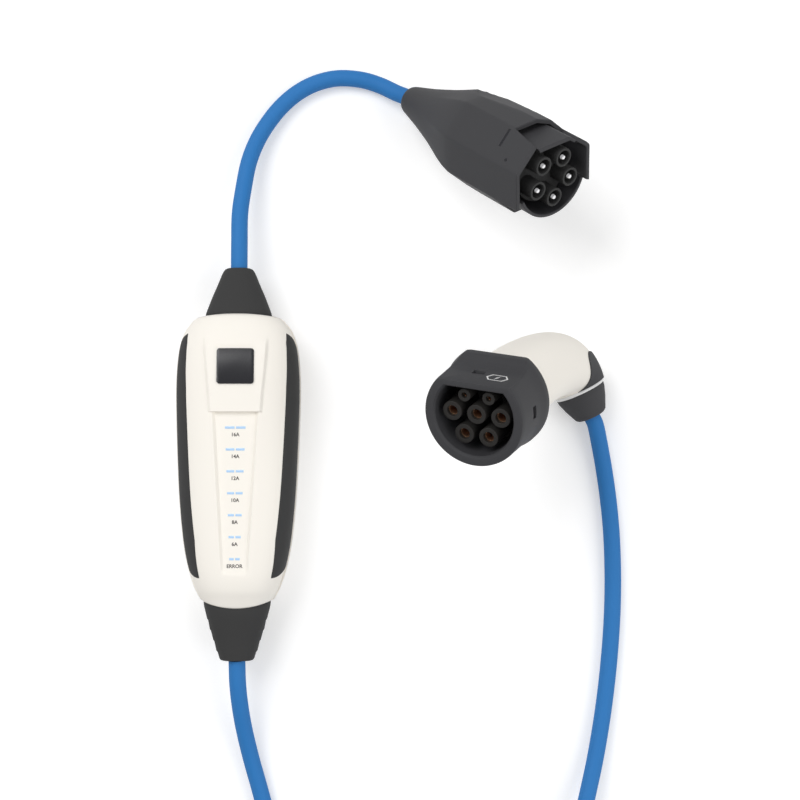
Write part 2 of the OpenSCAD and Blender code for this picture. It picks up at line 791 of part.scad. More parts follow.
module connector_body() {
  color(cream) at_elbow() pipe(
    [for (e = ELBOW) elbow_ring(e, 0, 0, 360, 36, true)],
    [for (e = ELBOW) elbow_ring(e, -3, 0, 360, 36, true)]);
}

module grip_inset() {
  color(grey) at_elbow() inset_solid();
}

module flat_top(y, z0, z1) {
  translate([-60, -60, z0]) cube([120, 60 + y, z1 - z0]);
}

// Side of the collar: radius and place along its axis
COLLAR_SIDE = [
  [0, 0], [collar_r - 1.2, 0], [collar_r - 0.3, -0.5], [collar_r, -1.6], [collar_r + 0.4, -22],
  [collar_r + 0.7, -27], [collar_r + 1.2, -30.5], [rim_r - 0.4, -33], [rim_r, -34.6], [rim_r, rear_z + 1.2],
  [rim_r - 1.2, rear_z], [0, rear_z]];
// Top of the collar: place along its axis and height, flat in front and swept up to the rim
COLLAR_TOP = [
  [1, -60], [1, flat_y], [-19, flat_y], [-24, flat_y + 0.5], [-27.5, flat_y + 1.5], [-30.5, flat_y + 3],
  [-33, flat_y + 4.6], [-35, flat_y + 5.4], [rear_z - 1, flat_y + 5.8], [rear_z - 1, -60]];

module connector_collar() {
  color(dark) at_connector() difference() {
    intersection() {
      rotate_extrude() polygon(COLLAR_SIDE);
      rotate([0, -90, 0]) linear_extrude(height = 120, center = true) polygon(COLLAR_TOP);
    }
    intersection() {
      translate([0, 0, rear_z - 1]) cylinder(h = 60, r = bore_r);
      flat_top(bore_flat_y, rear_z - 2, 4);
    }
    intersection() {
      translate([0, 0, -1.6]) cylinder(h = 2, r1 = bore_r, r2 = bore_r + 1.6);
      flat_top(bore_flat_y + 1, -2, 1);
    }
    translate([-8, flat_y - 2, -21.4]) cube([8, 4, 5]);
    both_sides() rotate(2) translate([collar_r - 1.6, -4, -21.4]) cube([6, 8, 4.6]);
  }
}

POWER = [[0, 0, 0], [-16.1, 0, 0], [16.1, 0, 0], [-8.05, -13.94, 0], [8.05, -13.94, 0]];
SIGNAL = [[-8.05, 11.4, 0], [8.05, 11.4, 0]];
tube_z = -5;
sleeve_z = -8;
base_z = -32;
power_sleeve = power_bore / 2 + 1.3;
signal_sleeve = signal_bore / 2 + 0.9;
power_lip = power_bore / 2 + 0.4;
signal_lip = signal_bore / 2 + 0.3;
// A short nose on each contact stands in the lip of its tube.
nose_len = 0.3;
nose_gap = 0.05;

module contact_carrier() {
  color(black) at_connector() difference() {
    union() {
      intersection() {
        translate([0, 0, rear_z]) cylinder(h = base_z - rear_z, r = bore_r);
        flat_top(bore_flat_y, rear_z - 1, base_z + 1);
      }
      for (p = POWER) translate(p + [0, 0, base_z - 1]) cylinder(h = tube_z - base_z + 1, r = power_tube / 2);
      for (p = SIGNAL) translate(p + [0, 0, base_z - 1]) cylinder(h = tube_z - base_z + 1, r = 4.1);
    }
    for (p = POWER) {
      translate(p + [0, 0, rear_z - 1]) cylinder(h = sleeve_z - nose_len - rear_z + 1, r = power_sleeve);
      translate(p + [0, 0, sleeve_z - 1]) cylinder(h = 10, r = power_lip);
    }
    for (p = SIGNAL) {
      translate(p + [0, 0, rear_z - 1]) cylinder(h = sleeve_z - nose_len - rear_z + 1, r = signal_sleeve);
      translate(p + [0, 0, sleeve_z - 1]) cylinder(h = 10, r = signal_lip);
    }
  }
}

module contact(p, r, sleeve, lip) {
  color(copper) at_connector() translate(p) difference() {
    union() {
      translate([0, 0, rear_z - 6]) cylinder(h = sleeve_z - nose_len - rear_z + 6, r = sleeve);
      translate([0, 0, sleeve_z - 1]) cylinder(h = 1, r = lip - nose_gap);
    }
    translate([0, 0, sleeve_z - 32]) cylinder(h = 33, r = r);
  }
}

module earth_contact() {
  contact(POWER[0], power_bore / 2, power_sleeve, power_lip);
}

module power_contact_1() {
  contact(POWER[1], power_bore / 2, power_sleeve, power_lip);
}

module power_contact_2() {
  contact(POWER[2], power_bore / 2, power_sleeve, power_lip);
}

module power_contact_3() {
  contact(POWER[3], power_bore / 2, power_sleeve, power_lip);
}

module power_contact_4() {
  contact(POWER[4], power_bore / 2, power_sleeve, power_lip);
}

module signal_contact_1() {
  contact(SIGNAL[0], signal_bore / 2, signal_sleeve, signal_lip);
}

module signal_contact_2() {
  contact(SIGNAL[1], signal_bore / 2, signal_sleeve, signal_lip);
}

module trim_ring() {
  color(white) at_elbow() at_neck() difference() {
    cylinder(h = 2, r = neck_r1);
    translate([0, 0, -1]) cylinder(h = 4, r = 9);
  }
}

module connector_boot() {
  color(grey) at_elbow() at_neck() difference() {
    rotate_extrude() polygon([
      [0, -8], [13, -8], [13, -5], [9, -5], [9, 2], [neck_r1 - 0.2, 2], [neck_r1 - 0.6, 5], [14.6, 11],
      [12, boot_len - 4], [10.9, boot_len - 1.6], [9.4, boot_len - 0.4], [8, boot_len], [0, boot_len]]);
    translate([0, 0, -9]) cylinder(h = 40, r = cord_r);
  }
}

module connector_cores() {
  sheath_end = rz(neck_at - 13 * boot_dir, elbow_turn);
  color(blue) at_elbow() at_neck() translate([0, 0, -18]) cylinder(h = 18 + boot_len, r = cord_r);
  color(copper) at_connector() {
    for (p = POWER) rod(sheath_end + 0.2 * p, p + [0, 0, rear_z - 6.5], 1.4);
    for (p = SIGNAL) rod(sheath_end + 0.2 * p, p + [0, 0, rear_z - 6.5], 0.7);
  }
}

// Coil of the length that is out of sight
coil_at = [128, -340, 0];
tie_t = 1.2;
turn_p = cord_diameter - 0.3;
coil_mid = coil_inner + turn_p;
coil_out = coil_inner + 2 * turn_p;
coil_z = tie_t + cord_r;

module charge_cord_coil() {
  color(blue) translate(coil_at) {
    rotate_extrude($fn = 96) {
      for (i = [0 : 2]) for (j = [0 : 2])
        translate([coil_inner + turn_p * i, coil_z + turn_p * j]) circle(r = cord_r);
      translate([coil_inner, coil_z]) square([2 * turn_p, 2 * turn_p]);
    }
    translate([-cord_r, 0, coil_z]) rotate(180)
      rotate_extrude(angle = 180, $fn = 96) translate([coil_out + cord_r, 0]) circle(r = cord_r);
    translate([0, 0, coil_z + 2 * turn_p + cord_r]) rotate([0, -atan(cord_r / coil_out), 0]) rotate(180)
      rotate_extrude(angle = 180, $fn = 96) translate([coil_out, 0]) circle(r = cord_r);
  }
}

module cord_ties() {
  lo = coil_inner - cord_r - 0.6;
  hi = coil_out + cord_r;
  color(black) for (a = [50, 130]) translate(coil_at) rotate(a) rotate([90, 0, 0]) translate([0, 0, -7])
    linear_extrude(height = 14) difference() {
      translate([lo - tie_t, 0]) square([hi - lo + 2 * tie_t, 2 * coil_z + 2 * turn_p]);
      translate([lo, tie_t]) square([hi - lo, 2 * coil_z + 2 * turn_p - 2 * tie_t]);
    }
}

coil_left = coil_at + [-coil_out - cord_diameter, 0, coil_z];
coil_right = coil_at + [coil_out, 0, coil_z + 2 * turn_p + cord_diameter];

BOX_ROUTE = [
  [0, -end_y, axis_z], [0.5, -146, 24.5], [2, -162, 20], [4.5, -178, 14.5], [8.5, -196, 9.5], [14, -216, 7],
  [20, -238, 6.6], [26, -262, 6.6], [31, -288, 6.7], [34.5, -314, 6.8], coil_left];

module charge_cord_box_run() {
  color(blue) tube(BOX_ROUTE, [0, -1, 0], [0, -1, 0], 1);
}

CONNECTOR_ROUTE = [
  to_world(rz(exit_at, elbow_turn)), [241.6, 16.6, 9.8], [245.4, -3.7, 6.8], [248.2, -24, 5.8],
  [250, -44, 5.7], [250.8, -64.5, 5.7], [250.8, -85, 5.7], [250, -105, 5.7], [248.4, -126, 5.7],
  [246, -148, 5.9], [242.5, -172, 6.6], [237.5, -198, 9], [231, -224, 14.2], [223.5, -252, 23],
  [217, -280, 33], [212.5, -310, 39], coil_right];

module charge_cord_connector_run() {
  color(blue) tube(CONNECTOR_ROUTE, elbow_dir(boot_dir), [0, -1, 0], 2);
}

front_shell();
rear_shell();
shell_seal();
left_grip();
right_grip();
badge_plate();
light_guide();
upper_boot();
lower_boot();
upper_clamp();
lower_clamp();
clamp_screws();
shell_screws();
main_board();
board_screws();
relay_1();
relay_2();
relay_3();
relay_4();
current_sensor();
supply_module();
varistors();
inlet_terminal();
outlet_terminal();
display_board();
display_leds();
display_screws();
supply_cores();
charge_cores();
supply_cord();
plug_housing();
plug_insert();
plug_pin_1();
plug_pin_2();
plug_pin_3();
plug_pin_4();
plug_pin_5();
plug_cores();
connector_body();
connector_collar();
contact_carrier();
earth_contact();
power_contact_1();
power_contact_2();
power_contact_3();
power_contact_4();
signal_contact_1();
signal_contact_2();
grip_inset();
trim_ring();
connector_boot();
connector_cores();
charge_cord_box_run();
charge_cord_coil();
charge_cord_connector_run();
cord_ties();
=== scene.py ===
"""Portable vehicle charger: finishes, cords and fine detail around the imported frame.

Sizes in the classes are millimetres in the part's own frame. Meshes are made in metres.
"""

import logging
import math
from dataclasses import dataclass, field
from enum import Enum
from typing import Sequence

import bmesh
import bpy
import numpy as np
from mathutils import Matrix, Vector


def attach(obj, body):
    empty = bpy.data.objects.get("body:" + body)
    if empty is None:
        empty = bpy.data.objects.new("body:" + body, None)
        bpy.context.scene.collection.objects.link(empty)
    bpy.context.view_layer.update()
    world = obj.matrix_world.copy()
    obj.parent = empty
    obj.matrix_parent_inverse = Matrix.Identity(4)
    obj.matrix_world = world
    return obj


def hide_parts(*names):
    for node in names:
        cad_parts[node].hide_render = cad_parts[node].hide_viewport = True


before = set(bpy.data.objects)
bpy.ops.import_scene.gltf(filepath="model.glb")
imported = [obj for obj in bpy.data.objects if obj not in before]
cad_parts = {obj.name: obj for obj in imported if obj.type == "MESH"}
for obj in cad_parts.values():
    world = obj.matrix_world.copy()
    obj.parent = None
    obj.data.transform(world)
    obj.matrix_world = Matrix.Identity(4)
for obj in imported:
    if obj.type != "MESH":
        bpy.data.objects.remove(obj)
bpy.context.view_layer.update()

LOG = logging.getLogger("charger")
MM = 0.001
BODY = "root"

Colour = tuple[float, float, float]
Point = tuple[float, float, float]


class Side(Enum):
    """The two sides of the control box."""

    LEFT = -1
    RIGHT = 1


class Closing(Enum):
    """How a grid of points is closed along its columns."""

    OPEN = "open"
    ROUND = "round"


def smoothstep(low: float, high: float, value: np.ndarray) -> np.ndarray:
    """Eased step from 0 at low to 1 at high.

    Args:
        low: Value at which the step starts.
        high: Value at which the step ends.
        value: Values to map.

    Returns:
        The eased values, from 0 to 1.
    """
    t = np.clip((value - low) / (high - low), 0.0, 1.0)
    return t * t * (3.0 - 2.0 * t)


def soft_over(value: np.ndarray, softness: float = 0.25) -> np.ndarray:
    """Rounded form of max(value, 0).

    Args:
        value: Heights to cut off below zero.
        softness: Size of the rounding.

    Returns:
        The rounded heights.
    """
    return 0.5 * (value + np.sqrt(value * value + softness * softness))


def catmull(points: Sequence[Sequence[float]], steps: int) -> np.ndarray:
    """Smooth curve through points.

    Args:
        points: The points, of any dimension.
        steps: Samples from one point to the next.

    Returns:
        The sampled curve, with the first and last point kept.
    """
    p = np.asarray(points, float)
    p = np.vstack([2 * p[0] - p[1], p, 2 * p[-1] - p[-2]])
    out = []
    for i in range(1, len(p) - 2):
        a, b, c, d = p[i - 1:i + 3]
        for t in np.arange(steps) / steps:
            out.append(0.5 * (2 * b + (c - a) * t + (2 * a - 5 * b + 4 * c - d) * t ** 2
                              + (3 * b - a - 3 * c + d) * t ** 3))
    out.append(p[-2])
    return np.array(out)


class Builder:
    """Makes the object's mesh pieces."""

    @staticmethod
    def link(name: str, mesh: bpy.types.Mesh) -> bpy.types.Object:
        """Puts a mesh in the scene as a piece that rides on the body."""
        piece = bpy.data.objects.new(name, mesh)
        bpy.context.scene.collection.objects.link(piece)
        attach(piece, BODY)
        return piece

    @staticmethod
    def shade(mesh: bpy.types.Mesh, sharp_angle: float = 35.0) -> None:
        """Smooths a mesh's faces, with sharp edges where faces meet at more than an angle.

        Args:
            mesh: The mesh.
            sharp_angle: Angle in degrees from which an edge stays sharp.
        """
        work = bmesh.new()
        work.from_mesh(mesh)
        bmesh.ops.recalc_face_normals(work, faces=work.faces)
        limit = math.radians(sharp_angle)
        for face in work.faces:
            face.smooth = True
        for edge in work.edges:
            edge.smooth = len(edge.link_faces) != 2 or edge.calc_face_angle() < limit
        work.to_mesh(mesh)
        work.free()

    @classmethod
    def grid(cls, name: str, rows: np.ndarray, closing: Closing = Closing.OPEN, ring: bool = False,
             caps: bool = False, sharp_angle: float = 35.0) -> bpy.types.Object:
        """Piece made of a grid of quads.

        Args:
            name: Name of the piece.
            rows: Points in millimetres, as rows by columns by three.
            closing: Whether each row closes on itself.
            ring: Whether the last row joins the first.
            caps: Whether the first and last row are closed by a face.
            sharp_angle: Angle from which an edge stays sharp.

        Returns:
            The new piece.
        """
        n, m = rows.shape[:2]
        faces = []
        for i in range(n if ring else n - 1):
            a, b = i * m, (i + 1) % n * m
            for j in range(m if closing is Closing.ROUND else m - 1):
                k = (j + 1) % m
                faces.append((a + j, a + k, b + k, b + j))
        if caps:
            faces.append(tuple(range(m)))
            faces.append(tuple(range((n - 1) * m, n * m)))
        mesh = bpy.data.meshes.new(name)
        mesh.from_pydata([tuple(p) for p in rows.reshape(-1, 3) * MM], [], faces)
        cls.shade(mesh, sharp_angle)
        return cls.link(name, mesh)

    @staticmethod
    def thicken(piece: bpy.types.Object, thickness: float) -> None:
        """Gives a sheet a wall on its inner side.

        Args:
            piece: The sheet.
            thickness: Wall in millimetres.
        """
        wall = piece.modifiers.new("wall", "SOLIDIFY")
        wall.thickness = thickness * MM
        wall.offset = -1.0
        wall.use_even_offset = False

    @classmethod
    def extruded(cls, name: str, outlines: Sequence[Sequence[Sequence[float]]], height: float,
                 place: Matrix) -> bpy.types.Object:
        """Thin piece of flat outlines.

        Args:
            name: Name of the piece.
            outlines: Convex outlines in millimetres, in the XY plane of the place.
            height: Thickness in millimetres.
            place: Where the outlines lie, in millimetres.

        Returns:
            The new piece.
        """
        work = bmesh.new()
        for outline in outlines:
            low = [work.verts.new(place @ Vector((x, y, 0.0)) * MM) for x, y in outline]
            high = [work.verts.new(place @ Vector((x, y, height)) * MM) for x, y in outline]
            work.faces.new(high)
            work.faces.new(low[::-1])
            count = len(low)
            for i in range(count):
                j = (i + 1) % count
                work.faces.new((low[i], low[j], high[j], high[i]))
        mesh = bpy.data.meshes.new(name)
        work.to_mesh(mesh)
        work.free()
        cls.shade(mesh, 30.0)
        return cls.link(name, mesh)

    @classmethod
    def words(cls, name: str, text: str, size: float, place: Matrix) -> bpy.types.Object:
        """Thin printed characters as a mesh.

        Args:
            name: Name of the piece.
            text: The characters.
            size: Font size in millimetres.
            place: Where the middle of the line lies, in millimetres.

        Returns:
            The new piece.
        """
        curve = bpy.data.curves.new(name, "FONT")
        curve.body = text
        curve.size = size
        curve.extrude = 0.02
        curve.offset = size * 0.022
        curve.align_x = "CENTER"
        curve.align_y = "CENTER"
        curve.resolution_u = 4
        maker = bpy.data.objects.new(name + "_curve", curve)
        mesh = bpy.data.meshes.new_from_object(maker)
        bpy.data.objects.remove(maker)
        bpy.data.curves.remove(curve)
        mesh.transform(Matrix.Scale(MM, 4) @ place)
        mesh.name = name
        return cls.link(name, mesh)


class Tree:
    """One material's node tree while it is built."""

    def __init__(self, name: str) -> None:
        """Starts a material with one shader and its output."""
        self.material = bpy.data.materials.new(name)
        self.material.use_nodes = True
        self.nodes = self.material.node_tree.nodes
        self.links = self.material.node_tree.links
        self.nodes.clear()
        self.output = self.nodes.new("ShaderNodeOutputMaterial")
        self.shader = self.nodes.new("ShaderNodeBsdfPrincipled")
        self.links.new(self.shader.outputs["BSDF"], self.output.inputs["Surface"])
        self.coords = self.nodes.new("ShaderNodeTexCoord")

    def noise(self, scale: float, detail: float = 3.0) -> bpy.types.NodeSocket:
        """Value of a noise over the object.

        Args:
            scale: Cells per metre.
            detail: Finer layers in the noise.

        Returns:
            The noise's output socket.
        """
        node = self.nodes.new("ShaderNodeTexNoise")
        node.inputs["Scale"].default_value = scale
        node.inputs["Detail"].default_value = detail
        self.links.new(self.coords.outputs["Object"], node.inputs["Vector"])
        return node.outputs["Fac"]

    def spread(self, value: bpy.types.NodeSocket, low: float, high: float) -> bpy.types.NodeSocket:
        """Maps the middle of a noise to a range.

        Args:
            value: The noise.
            low: Result at the noise's low side.
            high: Result at its high side.

        Returns:
            The mapped output socket.
        """
        node = self.nodes.new("ShaderNodeMapRange")
        node.inputs["From Min"].default_value = 0.3
        node.inputs["From Max"].default_value = 0.7
        node.inputs["To Min"].default_value = low
        node.inputs["To Max"].default_value = high
        self.links.new(value, node.inputs["Value"])
        return node.outputs["Result"]

    def blend(self, value: bpy.types.NodeSocket, first: Colour, second: Colour) -> bpy.types.NodeSocket:
        """Colour between two tones.

        Args:
            value: Share of the second tone.
            first: Tone at 0.
            second: Tone at 1.

        Returns:
            The colour's output socket.
        """
        node = self.nodes.new("ShaderNodeMix")
        node.data_type = "RGBA"
        node.inputs["A"].default_value = (*first, 1.0)
        node.inputs["B"].default_value = (*second, 1.0)
        tones = [s for s in node.inputs if s.type == "RGBA"]
        tones[0].default_value = (*first, 1.0)
        tones[1].default_value = (*second, 1.0)
        self.links.new(value, node.inputs["Factor"])
        return next(s for s in node.outputs if s.type == "RGBA")

    def bump(self, value: bpy.types.NodeSocket, depth: float) -> None:
        """Raises the shader's surface by a value.

        Args:
            value: Height from 0 to 1.
            depth: Height of 1, in millimetres.
        """
        node = self.nodes.new("ShaderNodeBump")
        node.inputs["Strength"].default_value = 1.0
        node.inputs["Distance"].default_value = depth * MM
        self.links.new(value, node.inputs["Height"])
        self.links.new(node.outputs["Normal"], self.shader.inputs["Normal"])

    def feed(self, socket: str, value: bpy.types.NodeSocket) -> None:
        """Links a value to one of the shader's sockets."""
        self.links.new(value, self.shader.inputs[socket])

    def fix(self, **values: float) -> None:
        """Sets the shader's own sockets, with underscores for the spaces in their names."""
        for name, value in values.items():
            self.shader.inputs[name.replace("_", " ")].default_value = value


@dataclass(frozen=True)
class Finish:
    """A moulded, dipped or plated surface with two close tones and a fine grain."""

    name: str
    tone: Colour
    second_tone: Colour
    rough_low: float = 0.35
    rough_high: float = 0.45
    tone_scale: float = 18.0
    grain_scale: float = 1400.0
    grain_depth: float = 0.012
    metallic: float = 0.0
    specular: float = 0.5
    coat: float = 0.0
    coat_roughness: float = 0.1
    sheen: float = 0.0

    def material(self) -> bpy.types.Material:
        """The finish as a material, made once."""
        made = bpy.data.materials.get(self.name)
        if made:
            return made
        tree = Tree(self.name)
        tree.fix(Metallic=self.metallic, Specular_IOR_Level=self.specular, Coat_Weight=self.coat,
                 Coat_Roughness=self.coat_roughness, Sheen_Weight=self.sheen)
        cloud = tree.spread(tree.noise(self.tone_scale), 0.0, 1.0)
        tree.feed("Base Color", tree.blend(cloud, self.tone, self.second_tone))
        fine = tree.noise(self.grain_scale, 2.0)
        tree.feed("Roughness", tree.spread(fine, self.rough_low, self.rough_high))
        tree.bump(fine, self.grain_depth)
        return tree.material

    def dress(self, *pieces: bpy.types.Object) -> None:
        """Gives pieces this finish alone."""
        for piece in pieces:
            piece.data.materials.clear()
            piece.data.materials.append(self.material())


@dataclass(frozen=True)
class LitFinish(Finish):
    """A light guide that is lit from below, paler in the middle of the box."""

    heart: Colour = (0.6, 0.85, 1.0)
    rim: Colour = (0.1, 0.24, 0.75)
    reach: float = 5.5
    strength: float = 0.75

    def material(self) -> bpy.types.Material:
        """The finish with its glow."""
        made = bpy.data.materials.get(self.name)
        if made:
            return made
        material = super().material()
        tree_nodes, links = material.node_tree.nodes, material.node_tree.links
        shader = next(n for n in tree_nodes if n.type == "BSDF_PRINCIPLED")
        coords = next(n for n in tree_nodes if n.type == "TEX_COORD")
        parts = tree_nodes.new("ShaderNodeSeparateXYZ")
        links.new(coords.outputs["Object"], parts.inputs["Vector"])
        size = tree_nodes.new("ShaderNodeMath")
        size.operation = "ABSOLUTE"
        links.new(parts.outputs["X"], size.inputs[0])
        ramp = tree_nodes.new("ShaderNodeMapRange")
        ramp.inputs["From Max"].default_value = self.reach * MM
        links.new(size.outputs[0], ramp.inputs["Value"])
        mix = tree_nodes.new("ShaderNodeMix")
        mix.data_type = "RGBA"
        tones = [s for s in mix.inputs if s.type == "RGBA"]
        tones[0].default_value = (*self.heart, 1.0)
        tones[1].default_value = (*self.rim, 1.0)
        links.new(ramp.outputs["Result"], mix.inputs["Factor"])
        colour = next(s for s in mix.outputs if s.type == "RGBA")
        links.new(colour, shader.inputs["Emission Color"])
        shader.inputs["Emission Strength"].default_value = self.strength
        return material


class Finishes:
    """The object's finishes."""

    cream = Finish("cream_plastic", (0.915, 0.838, 0.695), (0.895, 0.815, 0.67), 0.34, 0.42,
                   grain_depth=0.006)
    rubber = Finish("dark_rubber", (0.013, 0.013, 0.0132), (0.017, 0.017, 0.017), 0.55, 0.7,
                    grain_scale=1900.0, grain_depth=0.03, specular=0.15)
    soft_grey = Finish("grey_rubber", (0.022, 0.022, 0.0225), (0.027, 0.027, 0.0275), 0.52, 0.66,
                       grain_scale=1800.0, grain_depth=0.025, specular=0.2)
    plug_plastic = Finish("dark_plastic", (0.0125, 0.0125, 0.0127), (0.0165, 0.0165, 0.0167), 0.42, 0.56,
                          grain_scale=2200.0, grain_depth=0.02, specular=0.17)
    black_plastic = Finish("black_plastic", (0.006, 0.006, 0.0062), (0.009, 0.009, 0.0092), 0.4, 0.52,
                           grain_depth=0.012, specular=0.12)
    tube_plastic = Finish("tube_plastic", (0.02, 0.019, 0.018), (0.027, 0.025, 0.023), 0.38, 0.5,
                          grain_depth=0.012, specular=0.25)
    badge = Finish("badge_gloss", (0.003, 0.003, 0.0032), (0.005, 0.005, 0.0052), 0.25, 0.32,
                   grain_depth=0.002, specular=0.1)
    cord = Finish("cord_blue", (0.004, 0.155, 0.47), (0.007, 0.175, 0.51), 0.42, 0.52,
                  tone_scale=40.0, grain_scale=900.0, grain_depth=0.015, specular=0.22)
    pin = Finish("pin_metal", (0.82, 0.82, 0.83), (0.74, 0.74, 0.76), 0.14, 0.24, grain_scale=2500.0,
                 grain_depth=0.004, metallic=1.0)
    contact = Finish("contact_metal", (0.62, 0.36, 0.2), (0.5, 0.27, 0.15), 0.2, 0.32,
                     grain_scale=2500.0, grain_depth=0.004, metallic=1.0)
    steel = Finish("screw_steel", (0.6, 0.61, 0.63), (0.5, 0.51, 0.53), 0.25, 0.38, grain_depth=0.006,
                   metallic=1.0)
    white = Finish("white_plastic", (0.86, 0.86, 0.85), (0.82, 0.82, 0.81), 0.3, 0.4, grain_depth=0.004)
    board = Finish("board_green", (0.03, 0.16, 0.08), (0.04, 0.2, 0.1), 0.3, 0.4, tone_scale=160.0)
    terminal = Finish("terminal_green", (0.05, 0.25, 0.1), (0.06, 0.29, 0.12), 0.4, 0.5)
    varistor = Finish("varistor_blue", (0.04, 0.12, 0.4), (0.05, 0.15, 0.46), 0.25, 0.35)
    core = Finish("core_copper", (0.45, 0.22, 0.1), (0.5, 0.26, 0.12), 0.4, 0.5)
    ink = Finish("scale_ink", (0.03, 0.027, 0.024), (0.045, 0.04, 0.036), 0.5, 0.6, grain_depth=0.004)
    sign = Finish("sign_white", (0.8, 0.8, 0.79), (0.72, 0.72, 0.71), 0.45, 0.55, grain_depth=0.004)
    light = LitFinish("light_guide", (0.12, 0.27, 0.62), (0.15, 0.31, 0.68), 0.2, 0.3, grain_depth=0.004)


def node(name: str) -> bpy.types.Object:
    """The CAD node of that name."""
    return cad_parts[name]


def edges_of(piece: bpy.types.Object, width: float, angle: float = 32.0) -> None:
    """Rounds the edges of a CAD node as a mould leaves them.

    Args:
        piece: The node.
        width: Width of the rounding in millimetres.
        angle: Angle in degrees from which an edge is rounded.
    """
    weld = piece.modifiers.new("weld", "WELD")
    weld.merge_threshold = 0.00002
    if width > 0:
        bevel = piece.modifiers.new("edges", "BEVEL")
        bevel.width = width * MM
        bevel.segments = 3
        bevel.limit_method = "ANGLE"
        bevel.angle_limit = math.radians(angle)
        bevel.use_clamp_overlap = True
        bevel.harden_normals = True
    for face in piece.data.polygons:
        face.use_smooth = True


@dataclass
class Studio:
    """Camera, floor and light. Places in metres."""

    target: Point = (0.1077, 0.0423, 0.026)
    distance: float = 1.3
    elevation: float = 86.0
    focal_px: float = 1950.0
    image_px: float = 800.0
    floor_half: float = 6.0
    floor_z: float = -0.0002

    def camera(self) -> None:
        """Sets the camera at the photograph's viewing angle."""
        lens = bpy.data.cameras.new("view")
        lens.sensor_fit = "AUTO"
        lens.lens_unit = "FOV"
        lens.angle = 2.0 * math.atan(self.image_px / 2.0 / self.focal_px)
        lens.clip_start = 0.05
        lens.clip_end = 50.0
        eye = bpy.data.objects.new("view", lens)
        tilt = math.radians(self.elevation)
        eye.location = Vector(self.target) + self.distance * Vector((0.0, -math.cos(tilt), math.sin(tilt)))
        eye.rotation_euler = (math.radians(90.0) - tilt, 0.0, 0.0)
        bpy.context.scene.collection.objects.link(eye)
        bpy.context.scene.camera = eye

    def floor(self) -> None:
        """Makes the pale floor, which keeps the object's shadow."""
        half = self.floor_half
        corners = [(x, y, self.floor_z) for x, y in ((-half, -half), (half, -half), (half, half), (-half, half))]
        mesh = bpy.data.meshes.new("floor")
        mesh.from_pydata(corners, [], [(0, 1, 2, 3)])
        floor = bpy.data.objects.new("floor", mesh)
        bpy.context.scene.collection.objects.link(floor)
        material = bpy.data.materials.new("floor_white")
        material.use_nodes = True
        nodes, links = material.node_tree.nodes, material.node_tree.links
        shader = next(n for n in nodes if n.type == "BSDF_PRINCIPLED")
        shader.inputs["Base Color"].default_value = (0.86, 0.86, 0.86, 1.0)
        shader.inputs["Roughness"].default_value = 0.9
        shader.inputs["Specular IOR Level"].default_value = 0.1
        path = nodes.new("ShaderNodeLightPath")
        seen = nodes.new("ShaderNodeMath")
        seen.operation = "MAXIMUM"
        links.new(path.outputs["Is Camera Ray"], seen.inputs[0])
        links.new(path.outputs["Is Glossy Ray"], seen.inputs[1])
        lift = nodes.new("ShaderNodeMath")
        lift.operation = "MULTIPLY"
        lift.inputs[1].default_value = 0.3
        links.new(seen.outputs[0], lift.inputs[0])
        shader.inputs["Emission Color"].default_value = (1.0, 1.0, 1.0, 1.0)
        links.new(lift.outputs[0], shader.inputs["Emission Strength"])
        mesh.materials.append(material)

    def lamp(self, name: str, place: Point, size: float, power: float) -> None:
        """Adds a soft square lamp that faces the object.

        Args:
            name: Name of the lamp.
            place: Where it stands.
            size: Side of the lamp.
            power: Its power in watts.
        """
        data = bpy.data.lights.new(name, "AREA")
        data.shape = "SQUARE"
        data.size = size
        data.energy = power
        lamp = bpy.data.objects.new(name, data)
        lamp.location = place
        aim = Vector(self.target) - Vector(place)
        lamp.rotation_euler = aim.to_track_quat("-Z", "Y").to_euler()
        bpy.context.scene.collection.objects.link(lamp)

    def light(self) -> None:
        """Sets the lamps and the pale surroundings."""
        self.lamp("key", (-0.9, 0.9, 1.9), 1.4, 26.0)
        self.lamp("fill", (1.5, -0.4, 1.5), 1.6, 15.0)
        world = bpy.data.worlds.new("studio")
        world.use_nodes = True
        back = next(n for n in world.node_tree.nodes if n.type == "BACKGROUND")
        back.inputs["Color"].default_value = (1.0, 1.0, 1.0, 1.0)
        back.inputs["Strength"].default_value = 0.45
        bpy.context.scene.world = world
        bpy.context.scene.view_settings.view_transform = "Standard"

    def build(self) -> None:
        """Makes the whole studio."""
        self.camera()
        self.floor()
        self.light()


